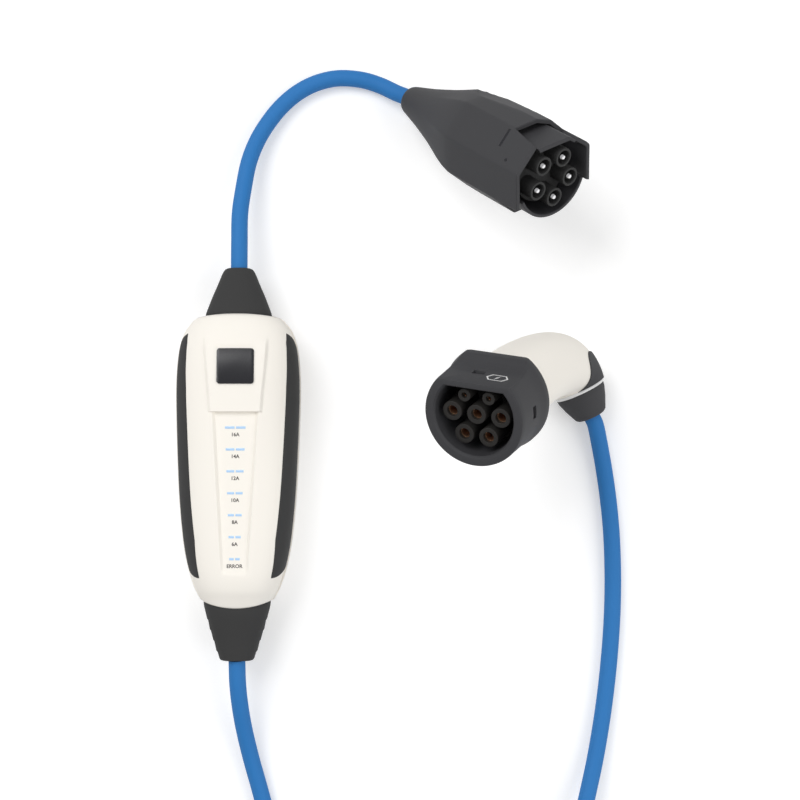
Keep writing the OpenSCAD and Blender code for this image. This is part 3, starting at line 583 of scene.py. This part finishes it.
@dataclass
class ControlBox:
    """The control box between the two cords, lying on its back."""

    half_width: float = 41.7
    front_rise: float = 27.0
    parting: float = 26.0
    rim_step: float = 1.2
    wall: float = 2.4
    front_power: float = 2.6
    boot_swell: float = 1.045
    boot_power: float = 2.3
    top_end: float = 98.5
    nose_low: float = -95.5
    nose_radius: float = 55.0
    nose_from: float = -78.0
    shoulder_drop: float = 1.4
    lip: float = 33.0
    channel_floor: float = 49.9
    channel_wall: float = 2.6
    grip_proud: float = 0.45
    grip_top: float = 86.0
    grip_low: float = -76.0
    cord_radius: float = 5.6
    row_first: float = 22.6
    row_pitch: float = 14.3
    label_drop: float = 4.7
    label_size: float = 3.3
    labels: tuple[str, ...] = ("16A", "14A", "12A", "10A", "8A", "6A", "ERROR")
    shape: list[Sequence[float]] = field(default_factory=lambda: [
        (98.5, 0.552, 0.6), (96.5, 0.69, 0.69), (93, 0.775, 0.765), (88, 0.86, 0.835), (79, 0.94, 0.926),
        (65, 0.985, 0.985), (47, 1, 1), (25, 0.988, 1), (0, 0.966, 1), (-25, 0.933, 1), (-50, 0.873, 0.99),
        (-65, 0.81, 0.965), (-76, 0.737, 0.92), (-84, 0.665, 0.83), (-90, 0.582, 0.69), (-96, 0.5, 0.55)])
    pad: list[Sequence[float]] = field(default_factory=lambda: [
        (33, 53.9, 15.7), (45, 53.9, 16.5), (60, 53.5, 18), (72, 52.6, 19), (82, 50.2, 19.5)])
    channel: list[Sequence[float]] = field(default_factory=lambda: [(-77, 6.4), (-66, 7), (33, 13)])
    grip_inset: list[Sequence[float]] = field(default_factory=lambda: [
        (-76, 7.6), (-61, 9.2), (-51, 10.2), (-21, 10), (25, 9.4), (49, 9), (69, 7.8), (79, 6.8), (86, 4.6)])
    upper_rows: list[Sequence[float]] = field(default_factory=lambda: [
        (95.5, 21.4, 15.3), (98.5, 21.2, 15.2), (101, 20.6, 15), (106.3, 18.7, 14), (111.7, 16.7, 12.9),
        (117, 14.5, 11.9), (122.3, 12.4, 11), (126.6, 10.7, 10.2), (129.2, 9.2, 9.2), (130.1, 7.9, 7.9)])
    lower_rows: list[Sequence[float]] = field(default_factory=lambda: [
        (-88, 21.6, 15.2), (-94, 21, 15), (-102.5, 19, 14.2), (-103.5, 18.3, 13.6), (-109.5, 17.2, 13),
        (-110.5, 16.5, 12.4), (-116.5, 15, 11.8), (-117.5, 14.3, 11.3), (-123.5, 13, 10.8),
        (-124.5, 12.2, 10.4), (-128.6, 11, 9.8), (-129.7, 10.2, 9.4), (-130.2, 8.6, 8.4)])

    def __post_init__(self) -> None:
        """Works out the fine outline."""
        fine = catmull(self.shape, 24)[::-1]
        self._y, self._w, self._f = fine[:, 0], fine[:, 1], fine[:, 2]

    def section(self, y: np.ndarray) -> tuple[np.ndarray, np.ndarray]:
        """Half width and front height of the front shell.

        Args:
            y: Places along the box.

        Returns:
            Half widths and heights above the parting plane.
        """
        return (np.interp(y, self._y, self._w) * self.half_width - self.rim_step,
                np.interp(y, self._y, self._f) * self.front_rise)

    @staticmethod
    def along(table: Sequence[Sequence[float]], y: float, column: int = 1) -> float:
        """Value of a table of places at y."""
        return float(np.interp(y, [t[0] for t in table], [t[column] for t in table]))

    def columns(self, y: float, w: float) -> np.ndarray:
        """Places across half of the front shell, from its middle to its rim.

        Args:
            y: Place along the box.
            w: Half width there.

        Returns:
            Distances from the middle.
        """
        floor = self.along(self.channel, y)
        edge = w + self.rim_step - self.along(self.grip_inset, y)
        pad = max(self.along(self.pad, y, 2), floor + self.channel_wall + 0.4)
        stops = np.array([0.0, floor, floor + self.channel_wall, pad, pad + 2.4])
        stops *= min(1.0, 0.86 * edge / stops[-1])
        inner = [np.linspace(a, b, n, endpoint=False)
                 for a, b, n in zip(stops, np.append(stops[1:], edge), (10, 10, 6, 8, 12))]
        start = math.acos(min(1.0, (edge / w) ** (self.front_power / 2)))
        rim = w * np.cos(np.linspace(start, 0.0, 22)) ** (2 / self.front_power)
        return np.concatenate(inner + [rim])

    def height(self, x: np.ndarray, y: np.ndarray, w: np.ndarray, f: np.ndarray, y_row: float) -> np.ndarray:
        """Height of the front shell.

        Args:
            x: Distances from the middle.
            y: Places along the box, one per distance.
            w: Half widths there.
            f: Front heights there.
            y_row: Place along the box at the middle.

        Returns:
            Heights above the floor.
        """
        n = self.front_power
        crown = self.parting + f * np.clip(1 - (x / w) ** n, 0, 1) ** (1 / n)
        if y_row >= self.lip:
            pad = self.along(self.pad, y_row, 2)
            top = self.along(self.pad, y_row) + 0.0 * x
            share = 1 - smoothstep(pad, pad + 2.4, x)
            fade = 1 - smoothstep(76.0, 84.0, y)
            return crown + share * fade * soft_over(top - crown, 0.35)
        floor = self.along(self.channel, y_row)
        low = self.channel_floor + 2.6 * smoothstep(-69.5, -78.0, y)
        share = 1 - smoothstep(floor, floor + self.channel_wall, x)
        return crown - share * soft_over(crown - low, 0.3)

    def front_rows(self) -> np.ndarray:
        """Points of the front shell's outer face, row by row from its upper end."""
        places = np.concatenate([
            np.linspace(self.top_end, 86, 14, endpoint=False), np.linspace(86, self.lip, 44, endpoint=False),
            [self.lip, self.lip - 0.45], np.linspace(self.lip - 1.2, -66, 64, endpoint=False),
            np.linspace(-66, self.nose_from, 18, endpoint=False),
            np.linspace(self.nose_from, self.nose_low, 22)])
        rows = []
        for place in places:
            w, _ = self.section(np.array([place]))
            x = self.columns(place, float(w[0]))
            y = np.full_like(x, place)
            for _ in range(4):
                w, f = self.section(y)
                x = self.columns(place, float(w[0])) * w / w[0]
                y = self.bent(place, x)
            w, f = self.section(y)
            z = self.height(x, y, w, f, place)
            z[-1] = self.parting
            half = np.stack([x, y, z], axis=1)
            rows.append(np.vstack([(half * (-1, 1, 1))[:0:-1], half]))
        return np.array(rows)

    def bent(self, place: float, x: np.ndarray) -> np.ndarray:
        """Places along the box of one row, which bows out at both ends of the shell.

        Args:
            place: Place of the row at the middle.
            x: Distances from the middle.

        Returns:
            Places along the box.
        """
        y = np.full_like(x, place)
        if place < self.nose_from:
            share = (self.nose_from - place) / (self.nose_from - self.nose_low)
            centre = self.nose_low + self.nose_radius
            end = centre - np.sqrt(np.maximum(self.nose_radius ** 2 - x ** 2, 1.0))
            y = self.nose_from + share * (end - self.nose_from)
        elif place > 90:
            y = y - self.shoulder_drop * (x / 22.0) ** 2 * (place - 90) / (self.top_end - 90)
        return y

    def front_shell(self) -> bpy.types.Object:
        """Makes the cream front shell."""
        piece = Builder.grid("front_cover", self.front_rows())
        Builder.thicken(piece, self.wall)
        Finishes.cream.dress(piece)
        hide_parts("front_shell")
        return piece

    def grip(self, side: Side) -> bpy.types.Object:
        """Makes one soft grip with rolled edges.

        Args:
            side: The side of the box.

        Returns:
            The new piece.
        """
        across = np.linspace(0.0, 1.0, 26)
        down = np.concatenate([np.linspace(0, 0.04, 8, endpoint=False),
                               np.linspace(0.04, 0.96, 90, endpoint=False),
                               np.linspace(0.96, 1.0, 9)])
        outer, inner = [], []
        n = self.front_power
        for t in down:
            top = self.grip_top - 3.0 * (1 - across) - 6.5 * (1 - across) ** 4
            low = self.grip_low + 7.0 * (1 - across) ** 2
            y = top + t * (low - top)
            w, f = self.section(y)
            edge = np.array([self.along(self.grip_inset, v) for v in y])
            last = np.arccos(np.clip((w + self.rim_step - edge) / w, 0, 1) ** (n / 2))
            a = across * last
            run = t * float((self.grip_top - self.grip_low))
            rest = (1 - t) * float((self.grip_top - self.grip_low))
            reach = (1 - across) * 14.0
            roll = np.minimum.reduce([np.full_like(across, run), np.full_like(across, rest),
                                      reach, across * 14.0 + 0.4])
            rise = self.grip_proud - 0.75 * (1 - np.clip(roll / 1.3, 0, 1)) ** 2
            for rows, lift in ((outer, rise), (inner, np.full_like(rise, -1.0))):
                x = (w + lift) * np.cos(a) ** (2 / n)
                z = self.parting + 0.15 + (f + lift) * np.sin(a) ** (2 / n)
                rows.append(np.stack([side.value * x, y, z], axis=1))
        rows = np.concatenate([np.array(outer), np.array(inner)[:, ::-1]], axis=1)
        piece = Builder.grid(f"{side.name.lower()}_soft_grip", rows, Closing.ROUND, caps=True,
                             sharp_angle=60.0)
        Finishes.rubber.dress(piece)
        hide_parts(f"{side.name.lower()}_grip")
        return piece

    def boot(self, name: str, stands_for: str, table: Sequence[Sequence[float]],
             smooth: bool) -> bpy.types.Object:
        """Makes a rubber boot with its cord hole.

        Args:
            name: Name of the piece.
            stands_for: The CAD node.
            table: Rows of place, half width and half height, from the shell outwards.
            smooth: Whether the rows are joined by a curve.

        Returns:
            The new piece.
        """
        rows = catmull(table, 5) if smooth else np.asarray(table, float)
        angle = np.linspace(0, 2 * np.pi, 72, endpoint=False)
        power = 2 / self.boot_power
        cross = np.sign(np.cos(angle)) * np.abs(np.cos(angle)) ** power
        up = np.sign(np.sin(angle)) * np.abs(np.sin(angle)) ** power
        wide = self.boot_swell * cross
        rings = [np.stack([w * wide, np.full_like(angle, y), self.parting + h * up], axis=1)
                 for y, w, h in rows]
        hole = self.cord_radius + 0.05
        for y in (rows[-1][0], rows[-1][0] - math.copysign(1.0, rows[-1][0]), rows[0][0]):
            rings.append(np.stack([hole * np.cos(angle), np.full_like(angle, y),
                                   self.parting + hole * np.sin(angle)], axis=1))
        piece = Builder.grid(name, np.array(rings), Closing.ROUND, ring=True, sharp_angle=42.0)
        Finishes.rubber.dress(piece)
        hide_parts(stands_for)
        return piece

    def scale(self) -> list[bpy.types.Object]:
        """Prints the plain scale beside the light bars."""
        made = []
        for i, text in enumerate(self.labels):
            y = self.row_first - self.row_pitch * i - self.label_drop
            place = Matrix.Translation((0.0, y, self.channel_floor + 0.03))
            made.append(Builder.words(f"scale_{i + 1}", text, self.label_size, place))
        Finishes.ink.dress(*made)
        return made

    def dress_frame(self) -> None:
        """Finishes the nodes that stay as they are."""
        looks = {
            Finishes.cream: ("rear_shell",), Finishes.badge: ("badge_plate",),
            Finishes.light: ("light_guide",),
            Finishes.rubber: ("shell_seal",), Finishes.plug_plastic: ("upper_clamp", "lower_clamp"),
            Finishes.steel: ("clamp_screws", "shell_screws", "board_screws", "display_screws"),
            Finishes.board: ("main_board", "display_board"), Finishes.white: ("display_leds",),
            Finishes.black_plastic: ("relay_1", "relay_2", "relay_3", "relay_4", "current_sensor",
                                     "supply_module"),
            Finishes.terminal: ("inlet_terminal", "outlet_terminal"), Finishes.varistor: ("varistors",),
            Finishes.core: ("supply_cores", "charge_cores")}
        for finish, names in looks.items():
            finish.dress(*[node(name) for name in names])
        edges_of(node("badge_plate"), 0.3)
        edges_of(node("light_guide"), 0.12)
        edges_of(node("rear_shell"), 0.0)

    def build(self) -> list[bpy.types.Object]:
        """Makes and dresses the whole box."""
        made = [self.front_shell(), self.grip(Side.LEFT), self.grip(Side.RIGHT)]
        made.append(self.boot("supply_end_boot", "upper_boot", self.upper_rows, True))
        made.append(self.boot("charge_end_boot", "lower_boot", self.lower_rows, False))
        made += self.scale()
        self.dress_frame()
        return made


@dataclass
class SupplyPlug:
    """The five-pin supply plug. Its own axis is Z, and the cord comes in at the low end."""

    at: Point = (115.1, 247.3, 17.0)
    rise: float = 38.8
    heading: float = -38.3
    entry: float = -10.0
    corner: float = 32.0
    wall: float = 3.0
    cord_hole: float = 5.65
    slot_face: float = 189.5
    block_face: float = 144.5
    face_out: float = 30.62
    top_face: float = 122.0
    edge_power: float = 110.0
    skirt_low: float = 86.0
    skirt_out: tuple[float, float] = (27.3, 23.8)
    skirt_in: tuple[float, float] = (25.3, 20.9)
    steps: tuple[float, ...] = (-10, -9.2, -7.5, -4, 2, 10, 20, 30, 37, 43, 49, 54, 58, 62, 66, 72, 80, 90, 100,
                                111)
    flats: list[Sequence[float]] = field(default_factory=lambda: [
        (-10, 8.2), (-9.2, 9.2), (-7.5, 9.9), (10, 14.5), (37, 22.8), (49, 26.4), (58, 28.8), (66, 30.5),
        (80, 30.7)])
    cover_edge: list[Sequence[float]] = field(default_factory=lambda: [
        (32, 136), (84, 136), (84.1, 114), (167, 114), (174, 136), (212, 136), (258, 136), (258.1, 113),
        (391.9, 113)])
    skirt_edge: list[Sequence[float]] = field(default_factory=lambda: [
        (32, 135.5), (34, 135.5), (34.1, 112), (100, 112), (100.1, 135.5), (171, 135.5), (171.1, 112),
        (255, 112),
        (255.1, 135.5), (391.9, 135.5)])
    pieces: tuple[str, ...] = ("plug_insert", *[f"plug_pin_{k}" for k in range(1, 6)], "plug_cores")

    def place(self) -> Matrix:
        """Gives the place of the plug's own frame, in millimetres."""
        turn = Matrix.Rotation(math.radians(self.heading), 4, "Z")
        lean = Matrix.Rotation(math.radians(90 - self.rise), 4, "Y")
        return Matrix.Translation(self.at) @ turn @ lean @ Matrix.Translation((0.0, 0.0, -self.entry))

    def tube(self, name: str, layers: Sequence[tuple[np.ndarray, np.ndarray]],
             angle: np.ndarray) -> bpy.types.Object:
        """Makes a closed wall round the axis.

        Args:
            name: Name of the piece.
            layers: Radius and height of each ring, out and back again.
            angle: Angle of each column in degrees.

        Returns:
            The new piece.
        """
        turn = np.asarray(self.place(), float)
        spin = np.radians(angle)
        rings = [np.stack([r * np.cos(spin), r * np.sin(spin), np.broadcast_to(z, spin.shape)], axis=1)
                 @ turn[:3, :3].T + turn[:3, 3] for r, z in layers]
        return Builder.grid(name, np.array(rings), Closing.ROUND, ring=True, sharp_angle=30.0)

    def columns(self, edge: Sequence[Sequence[float]]) -> tuple[np.ndarray, np.ndarray]:
        """Gives the angles of a wall's columns and the height of its front edge at each."""
        table = np.asarray(edge, float)
        angle = np.unique(np.concatenate([np.arange(32.0, 391.5, 1.5), table[:, 0]]))
        return angle, np.interp(angle, table[:, 0], table[:, 1])

    def radius(self, z: np.ndarray, angle: np.ndarray) -> np.ndarray:
        """Gives the cover's outer radius, round at the cord and eight-sided at the mouth."""
        table = np.asarray(self.flats, float)
        half = np.interp(z, table[:, 0], table[:, 1])
        share = smoothstep(22.0, 60.0, np.asarray(z, float))
        spin = np.radians(angle - self.corner - 22.5)
        reach = [np.clip(np.cos(spin - math.radians(45.0 * k)), 0, 1) ** self.edge_power for k in range(8)]
        sides = sum(reach) ** (-1 / self.edge_power)
        across = np.clip(np.cos(np.radians(angle - self.top_face)), 0.2, 1)
        top = np.interp(z, [30, 60, 100], [30, 27.8, 30.6]) / across
        return np.minimum(half * (1 - share + share * sides), top)

    def cover(self) -> bpy.types.Object:
        """Makes the moulded cover with its cut-out mouth."""
        angle, edge = self.columns(self.cover_edge)
        heights = [np.full_like(angle, z) for z in self.steps]
        heights += [self.steps[-1] + (edge - self.steps[-1]) * share for share in (0.4, 0.75)]
        outside = [(self.radius(z, angle), z) for z in heights + [edge - 0.6]]
        rim = self.radius(edge, angle)
        inside = [(np.maximum(r - self.wall, self.cord_hole), z) for r, z in outside[::-1]]
        layers = outside + [(rim - 0.5, edge), (rim - self.wall + 0.4, edge)] + inside
        piece = self.tube("plug_cover", layers, angle)
        Finishes.plug_plastic.dress(piece)
        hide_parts("plug_housing")
        return piece

    def skirt(self) -> bpy.types.Object:
        """Makes the inner skirt, round below and flat where the cut-out shows it."""
        angle, edge = self.columns(self.skirt_edge)
        flat = np.clip(np.cos(np.radians(angle - self.block_face)), 0.2, 1)
        out = np.minimum(self.skirt_out[0], self.skirt_out[1] / flat)
        into = np.minimum(self.skirt_in[0], self.skirt_in[1] / flat)
        low = np.full_like(angle, self.skirt_low)
        layers = [(out, low), (out, edge - 0.5), (out - 0.4, edge), (into + 0.4, edge), (into, edge - 0.5),
                  (into, low)]
        piece = self.tube("plug_skirt", layers, angle)
        Finishes.plug_plastic.dress(piece)
        return piece

    def marks(self) -> bpy.types.Object:
        """Makes the dark latch slot and screw hole on one flat."""
        spin = math.radians(self.slot_face)
        x, y = math.cos(spin), math.sin(spin)
        face = Matrix(((-y, 0, x, self.face_out * x), (x, 0, y, self.face_out * y), (0, 1, 0, 0), (0, 0, 0, 1)))
        slot = [(-10.8, 109.7), (1.7, 109.7), (1.7, 111.5), (-10.8, 111.5)]
        around = [k * math.pi / 8 for k in range(16)]
        hole = [(7.4 + 1.1 * math.cos(a), 121.3 + 1.1 * math.sin(a)) for a in around]
        piece = Builder.extruded("plug_marks", [slot, hole], 0.12, self.place() @ face)
        Finishes.badge.dress(piece)
        return piece

    def build(self) -> list[bpy.types.Object]:
        """Makes and dresses the plug and returns its pieces."""
        made = [self.cover(), self.skirt(), self.marks()]
        Finishes.black_plastic.dress(node("plug_insert"))
        Finishes.pin.dress(*[node(name) for name in self.pieces if name.startswith("plug_pin")])
        Finishes.core.dress(node("plug_cores"))
        edges_of(node("plug_insert"), 0.25)
        for name in self.pieces[1:6]:
            edges_of(node(name), 0.15)
        return made + [node(name) for name in self.pieces]


@dataclass
class VehicleConnector:
    """The vehicle connector with its bent body. Its own axis is Z, with the face at zero."""

    face_at: Point = (152.15, 23.84, 138.3)
    face_tilt: float = 36.03
    face_heading: float = 223.12
    face_roll: float = 132.09
    elbow_turn: float = 28.0
    bend: float = 92.0
    corner: float = -142.0
    rear: float = -40.0
    neck: float = 34.0
    boot: float = 21.0
    wall: float = 3.0
    inset_proud: float = 1.0
    inset_from: float = 0.67
    inset_half: float = 16.5
    flat_y: float = 22.0
    sign_at: tuple[float, float] = (10.0, -14.3)
    stations: list[Sequence[float]] = field(default_factory=lambda: [
        (0, 27.5, 23.5, 26), (0.15, 27.5, 23.6, 25), (0.3, 26.4, 23.2, 23.8), (0.45, 24.8, 22.4, 22.2),
        (0.6, 22.8, 21.2, 20.2), (0.7, 21.4, 20.3, 18.8), (0.8, 20, 19.3, 17.6), (0.87, 19, 18.6, 16.9),
        (0.94, 18.1, 17.9, 16.5), (1, 17.2, 17.2, 16.6)])

    @property
    def place(self) -> Matrix:
        """The connector's place in the frame, in millimetres."""
        turn = Matrix.Rotation(math.radians(self.face_heading), 4, "Z")
        turn = turn @ Matrix.Rotation(math.radians(self.face_tilt), 4, "Y")
        turn = turn @ Matrix.Rotation(math.radians(self.face_roll), 4, "Z")
        return Matrix.Translation(self.face_at) @ turn

    def put(self, points: np.ndarray) -> np.ndarray:
        """Moves points from the bent body's own axes to the frame."""
        m = np.array(self.place @ Matrix.Rotation(math.radians(self.elbow_turn), 4, "Z"))
        return points @ m[:3, :3].T + m[:3, 3]

    def line(self) -> tuple[np.ndarray, np.ndarray, np.ndarray]:
        """Start, corner and end of the body's middle line, in the body's own axes."""
        turn = math.radians(self.bend)
        corner = np.array([0.0, 0.0, self.corner])
        end = corner + self.neck * np.array([0.0, -math.sin(turn), -math.cos(turn)])
        return np.array([0.0, 0.0, self.rear]), corner, end

    def cord_entry(self) -> np.ndarray:
        """Points in the frame where the cord leaves the boot, and a little further out."""
        _, corner, end = self.line()
        out = (end - corner) / self.neck
        return self.put(np.array([end + self.boot * out, end + (self.boot + 6.0) * out]))

    def ring(self, station: Sequence[float], angle: np.ndarray, lift: np.ndarray) -> np.ndarray:
        """Points of the bent body at one station.

        Args:
            station: Share of the way to the neck, half width, and half height outside and inside the bend.
            angle: Angles about the body's axis.
            lift: Distances outside the body's face.

        Returns:
            The points, in the frame.
        """
        share, width, outside, inside = station
        start, corner, end = self.line()
        centre = (1 - share) ** 2 * start + 2 * share * (1 - share) * corner + share ** 2 * end
        way = (1 - share) * (corner - start) + share * (end - corner)
        way = way / np.linalg.norm(way)
        up = np.array([0.0, -way[2], way[1]])
        cross = np.sign(np.cos(angle)) * np.abs(np.cos(angle)) ** 0.9
        rise = np.sign(np.sin(angle)) * np.abs(np.sin(angle)) ** 0.9
        height = np.where(rise > 0, outside, inside) + lift
        side = -(width + lift) * cross
        return self.put(centre + side[:, None] * np.array([1.0, 0, 0]) + (height * rise)[:, None] * up)

    def body(self) -> bpy.types.Object:
        """Makes the cream bent body."""
        angle = np.linspace(0, 2 * np.pi, 96, endpoint=False)
        fine = catmull(self.stations, 6)
        fine[:, 0] = np.clip(fine[:, 0], 0, 1)
        rows = np.array([self.ring(s, angle, np.zeros_like(angle)) for s in fine])
        piece = Builder.grid("bent_body", rows, Closing.ROUND, sharp_angle=50.0)
        Builder.thicken(piece, self.wall)
        Finishes.cream.dress(piece)
        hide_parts("connector_body")
        return piece

    def inset(self) -> bpy.types.Object:
        """Makes the soft inset, a rounded tongue on the side of the neck."""
        table = np.asarray(self.stations, float)
        across = np.linspace(-1, 1, 41)
        outer, inner = [], []
        for share in self.inset_from + (1 - self.inset_from) * np.linspace(0.0, 1.0, 48) ** 1.8:
            half = self.inset_half * math.sqrt((share - self.inset_from) / (1 - self.inset_from))
            station = [np.interp(share, table[:, 0], table[:, i]) for i in range(4)]
            angle = np.pi + across * math.asin(min(0.95, half / station[2]))
            edge = (1 - np.abs(across)) * half
            lift = self.inset_proud - 1.3 * (1 - np.clip(edge / 1.2, 0, 1)) ** 2
            outer.append(self.ring(station, angle, lift))
            inner.append(self.ring(station, angle, np.full_like(lift, -0.6)))
        rows = np.concatenate([np.array(outer), np.array(inner)[:, ::-1]], axis=1)
        piece = Builder.grid("soft_inset", rows, Closing.ROUND, caps=True, sharp_angle=60.0)
        Finishes.soft_grey.dress(piece)
        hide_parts("grip_inset")
        return piece

    def sign(self) -> bpy.types.Object:
        """Makes the plain charging sign on the flat of the collar."""
        x, z = self.sign_at
        lay = Matrix.Translation((x, self.flat_y + 0.02, z)) @ Matrix.Rotation(math.radians(-90), 4, "X")
        corners = [(-7.2, 0.0), (-4.6, 4.4), (4.6, 4.4), (7.2, 0.0), (4.6, -4.4), (-4.6, -4.4)]
        line = 0.86
        outlines = []
        for i in range(6):
            a, b = np.array(corners[i]), np.array(corners[(i + 1) % 6])
            outlines.append([tuple(a), tuple(b), tuple(b * line), tuple(a * line)])
        outlines.append([(-1.0, -0.4), (1.4, 2.8), (0.5, 0.2)])
        outlines.append([(1.0, 0.4), (-1.4, -2.8), (-0.5, -0.2)])
        piece = Builder.extruded("charge_sign", outlines, 0.08, self.place @ lay)
        Finishes.sign.dress(piece)
        return piece

    def build(self) -> list[bpy.types.Object]:
        """Makes and dresses the connector and returns its pieces."""
        Finishes.plug_plastic.dress(node("connector_collar"))
        Finishes.tube_plastic.dress(node("contact_carrier"))
        metal = ["earth_contact"] + [f"power_contact_{i}" for i in range(1, 5)]
        metal += ["signal_contact_1", "signal_contact_2"]
        Finishes.contact.dress(*[node(name) for name in metal])
        Finishes.white.dress(node("trim_ring"))
        Finishes.soft_grey.dress(node("connector_boot"))
        Finishes.core.dress(node("connector_cores"))
        edges_of(node("connector_collar"), 0.8)
        edges_of(node("contact_carrier"), 0.3)
        edges_of(node("trim_ring"), 0.3)
        edges_of(node("connector_boot"), 0.0)
        for name in metal:
            edges_of(node(name), 0.2)
        kept = ["connector_collar", "contact_carrier", *metal, "trim_ring", "connector_boot", "connector_cores"]
        return [self.body(), self.inset(), self.sign()] + [node(name) for name in kept]


@dataclass
class Cords:
    """The supply cord and the charge cord with its stored coil."""

    diameter: float = 11.2
    coil_at: Point = (128.0, -340.0, 0.0)
    coil_inner: float = 58.0
    tie: float = 1.2
    turn_gap: float = 10.9
    per_turn: int = 48
    supply_route: list[Point] = field(default_factory=lambda: [
        (0, 130.3, 26), (0, 148, 25.5), (0, 168, 22.5), (2, 186, 18.5), (5, 204, 14.5), (10, 219, 11),
        (17, 232, 8.5), (26, 244, 7), (37, 254, 6), (50, 261, 6), (65, 264.5, 6), (81, 263.5, 6), (94, 259.5, 6.4),
        (105, 253.5, 9.9), (111.4, 250.2, 13.2), (115.1, 247.3, 17)])
    box_route: list[Point] = field(default_factory=lambda: [
        (0, -130.3, 26), (0.5, -146, 24.5), (2, -162, 20), (4.5, -178, 14.5), (8.5, -196, 9.5), (14, -216, 7),
        (20, -238, 6.6), (26, -262, 6.6), (31, -288, 6.7), (34.5, -314, 6.8)])
    connector_route: list[Point] = field(default_factory=lambda: [
        (241.6, 16.6, 9.8), (245.4, -3.7, 6.8), (248.2, -24, 5.8), (250, -44, 5.7), (250.8, -64.5, 5.7),
        (250.8, -85, 5.7), (250, -105, 5.7), (248.4, -126, 5.7), (246, -148, 5.9), (242.5, -172, 6.6),
        (237.5, -198, 9), (231, -224, 14.2), (223.5, -252, 23), (217, -280, 33), (212.5, -310, 39)])

    def curve(self, name: str, points: np.ndarray) -> bpy.types.Object:
        """Makes a round cord along points.

        Args:
            name: Name of the piece.
            points: The cord's middle line in millimetres.

        Returns:
            The new piece.
        """
        data = bpy.data.curves.new(name, "CURVE")
        data.dimensions = "3D"
        data.bevel_depth = 1.0
        data.bevel_resolution = 8
        data.use_fill_caps = True
        line = data.splines.new("POLY")
        line.points.add(len(points) - 1)
        for slot, p in zip(line.points, points):
            slot.co = (*[float(v) * MM for v in p], 1.0)
            # The points carry the cord's radius, because a curve's box grows by the radius of its points.
            slot.radius = self.diameter / 2 * MM
        line.use_smooth = True
        piece = bpy.data.objects.new(name, data)
        bpy.context.scene.collection.objects.link(piece)
        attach(piece, BODY)
        piece.data.materials.append(Finishes.cord.material())
        return piece

    @staticmethod
    def length(points: np.ndarray) -> float:
        """Length of a line of points, in metres."""
        return float(np.linalg.norm(np.diff(points, axis=0), axis=1).sum()) * MM

    def coil(self) -> np.ndarray:
        """Middle line of the coil, from its left side on the floor to its right side on top."""
        radius, gap = self.diameter / 2, self.turn_gap
        outside = self.coil_inner + 2 * gap
        low = self.tie + radius
        points = []
        for t in np.linspace(0, 1, self.per_turn // 2, endpoint=False):
            a = math.pi * (1 + t)
            points.append((-radius + (outside + radius) * math.cos(a), (outside + radius) * math.sin(a), low))
        layers = [(2, 1, 0), (0, 1, 2), (2, 1, 0)]
        stops = [(self.coil_inner + gap * i, low + gap * k) for k, layer in enumerate(layers) for i in layer]
        for k, (r, z) in enumerate(stops):
            after = stops[min(k + 1, len(stops) - 1)]
            share = 0.5 if k == len(stops) - 1 else 1.0
            for t in np.linspace(0, share, int(self.per_turn * share), endpoint=False):
                shift = float(smoothstep(0.8, 1.0, np.array(t)))
                a = 2 * math.pi * t
                here = r + shift * (after[0] - r)
                points.append((here * math.cos(a), here * math.sin(a), z + shift * (after[1] - z)))
        r, z = stops[-1]
        for t in np.linspace(0, 1, self.per_turn // 2):
            a = math.pi * (1 + t)
            here = r + (outside - r) * float(smoothstep(0.45, 1.0, np.array(t)))
            rise = self.diameter * float(smoothstep(0.0, 0.55, np.array(t)))
            points.append((here * math.cos(a), here * math.sin(a), z + rise))
        return np.array(points) + np.array(self.coil_at)

    def supply(self) -> bpy.types.Object:
        """Makes the supply cord.


        Returns:
            The new piece.
        """
        points = catmull(self.supply_route, 6)
        piece = self.curve("supply_lead", points)
        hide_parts("supply_cord")
        return piece

    def charge(self, far: np.ndarray, with_pieces: Sequence[bpy.types.Object]) -> bpy.types.Object:
        """Makes the charge cord with its coil.

        Args:
            far: Where the cord enters the connector, and a point a little further out.
            with_pieces: The connector's pieces and the coil's ties. Not used.

        Returns:
            The new piece.
        """
        coil = self.coil()
        first = catmull(self.box_route + [tuple(coil[0])], 6)[:-1]
        last = catmull([tuple(p) for p in far] + self.connector_route + [tuple(coil[-1])], 6)[::-1][1:]
        points = np.vstack([first, coil, last])
        piece = self.curve("charge_lead", points)
        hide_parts("charge_cord_box_run", "charge_cord_coil", "charge_cord_connector_run")
        return piece

    def ties(self) -> bpy.types.Object:
        """Dresses the ties on the coil."""
        piece = node("cord_ties")
        Finishes.black_plastic.dress(piece)
        edges_of(piece, 0.4)
        return piece


def main() -> None:
    """Builds the object in order and reports each piece."""
    logging.basicConfig(level=logging.INFO, format="%(name)s: %(message)s")
    Studio().build()
    box = ControlBox().build()
    plug = SupplyPlug().build()
    maker = VehicleConnector()
    connector = maker.build()
    cords = Cords()
    leads = [cords.supply(), cords.charge(maker.cord_entry(), connector + [cords.ties()])]
    for piece in box + plug + connector + leads:
        LOG.info("made %s", piece.name)


if __name__ == "__main__":
    main()
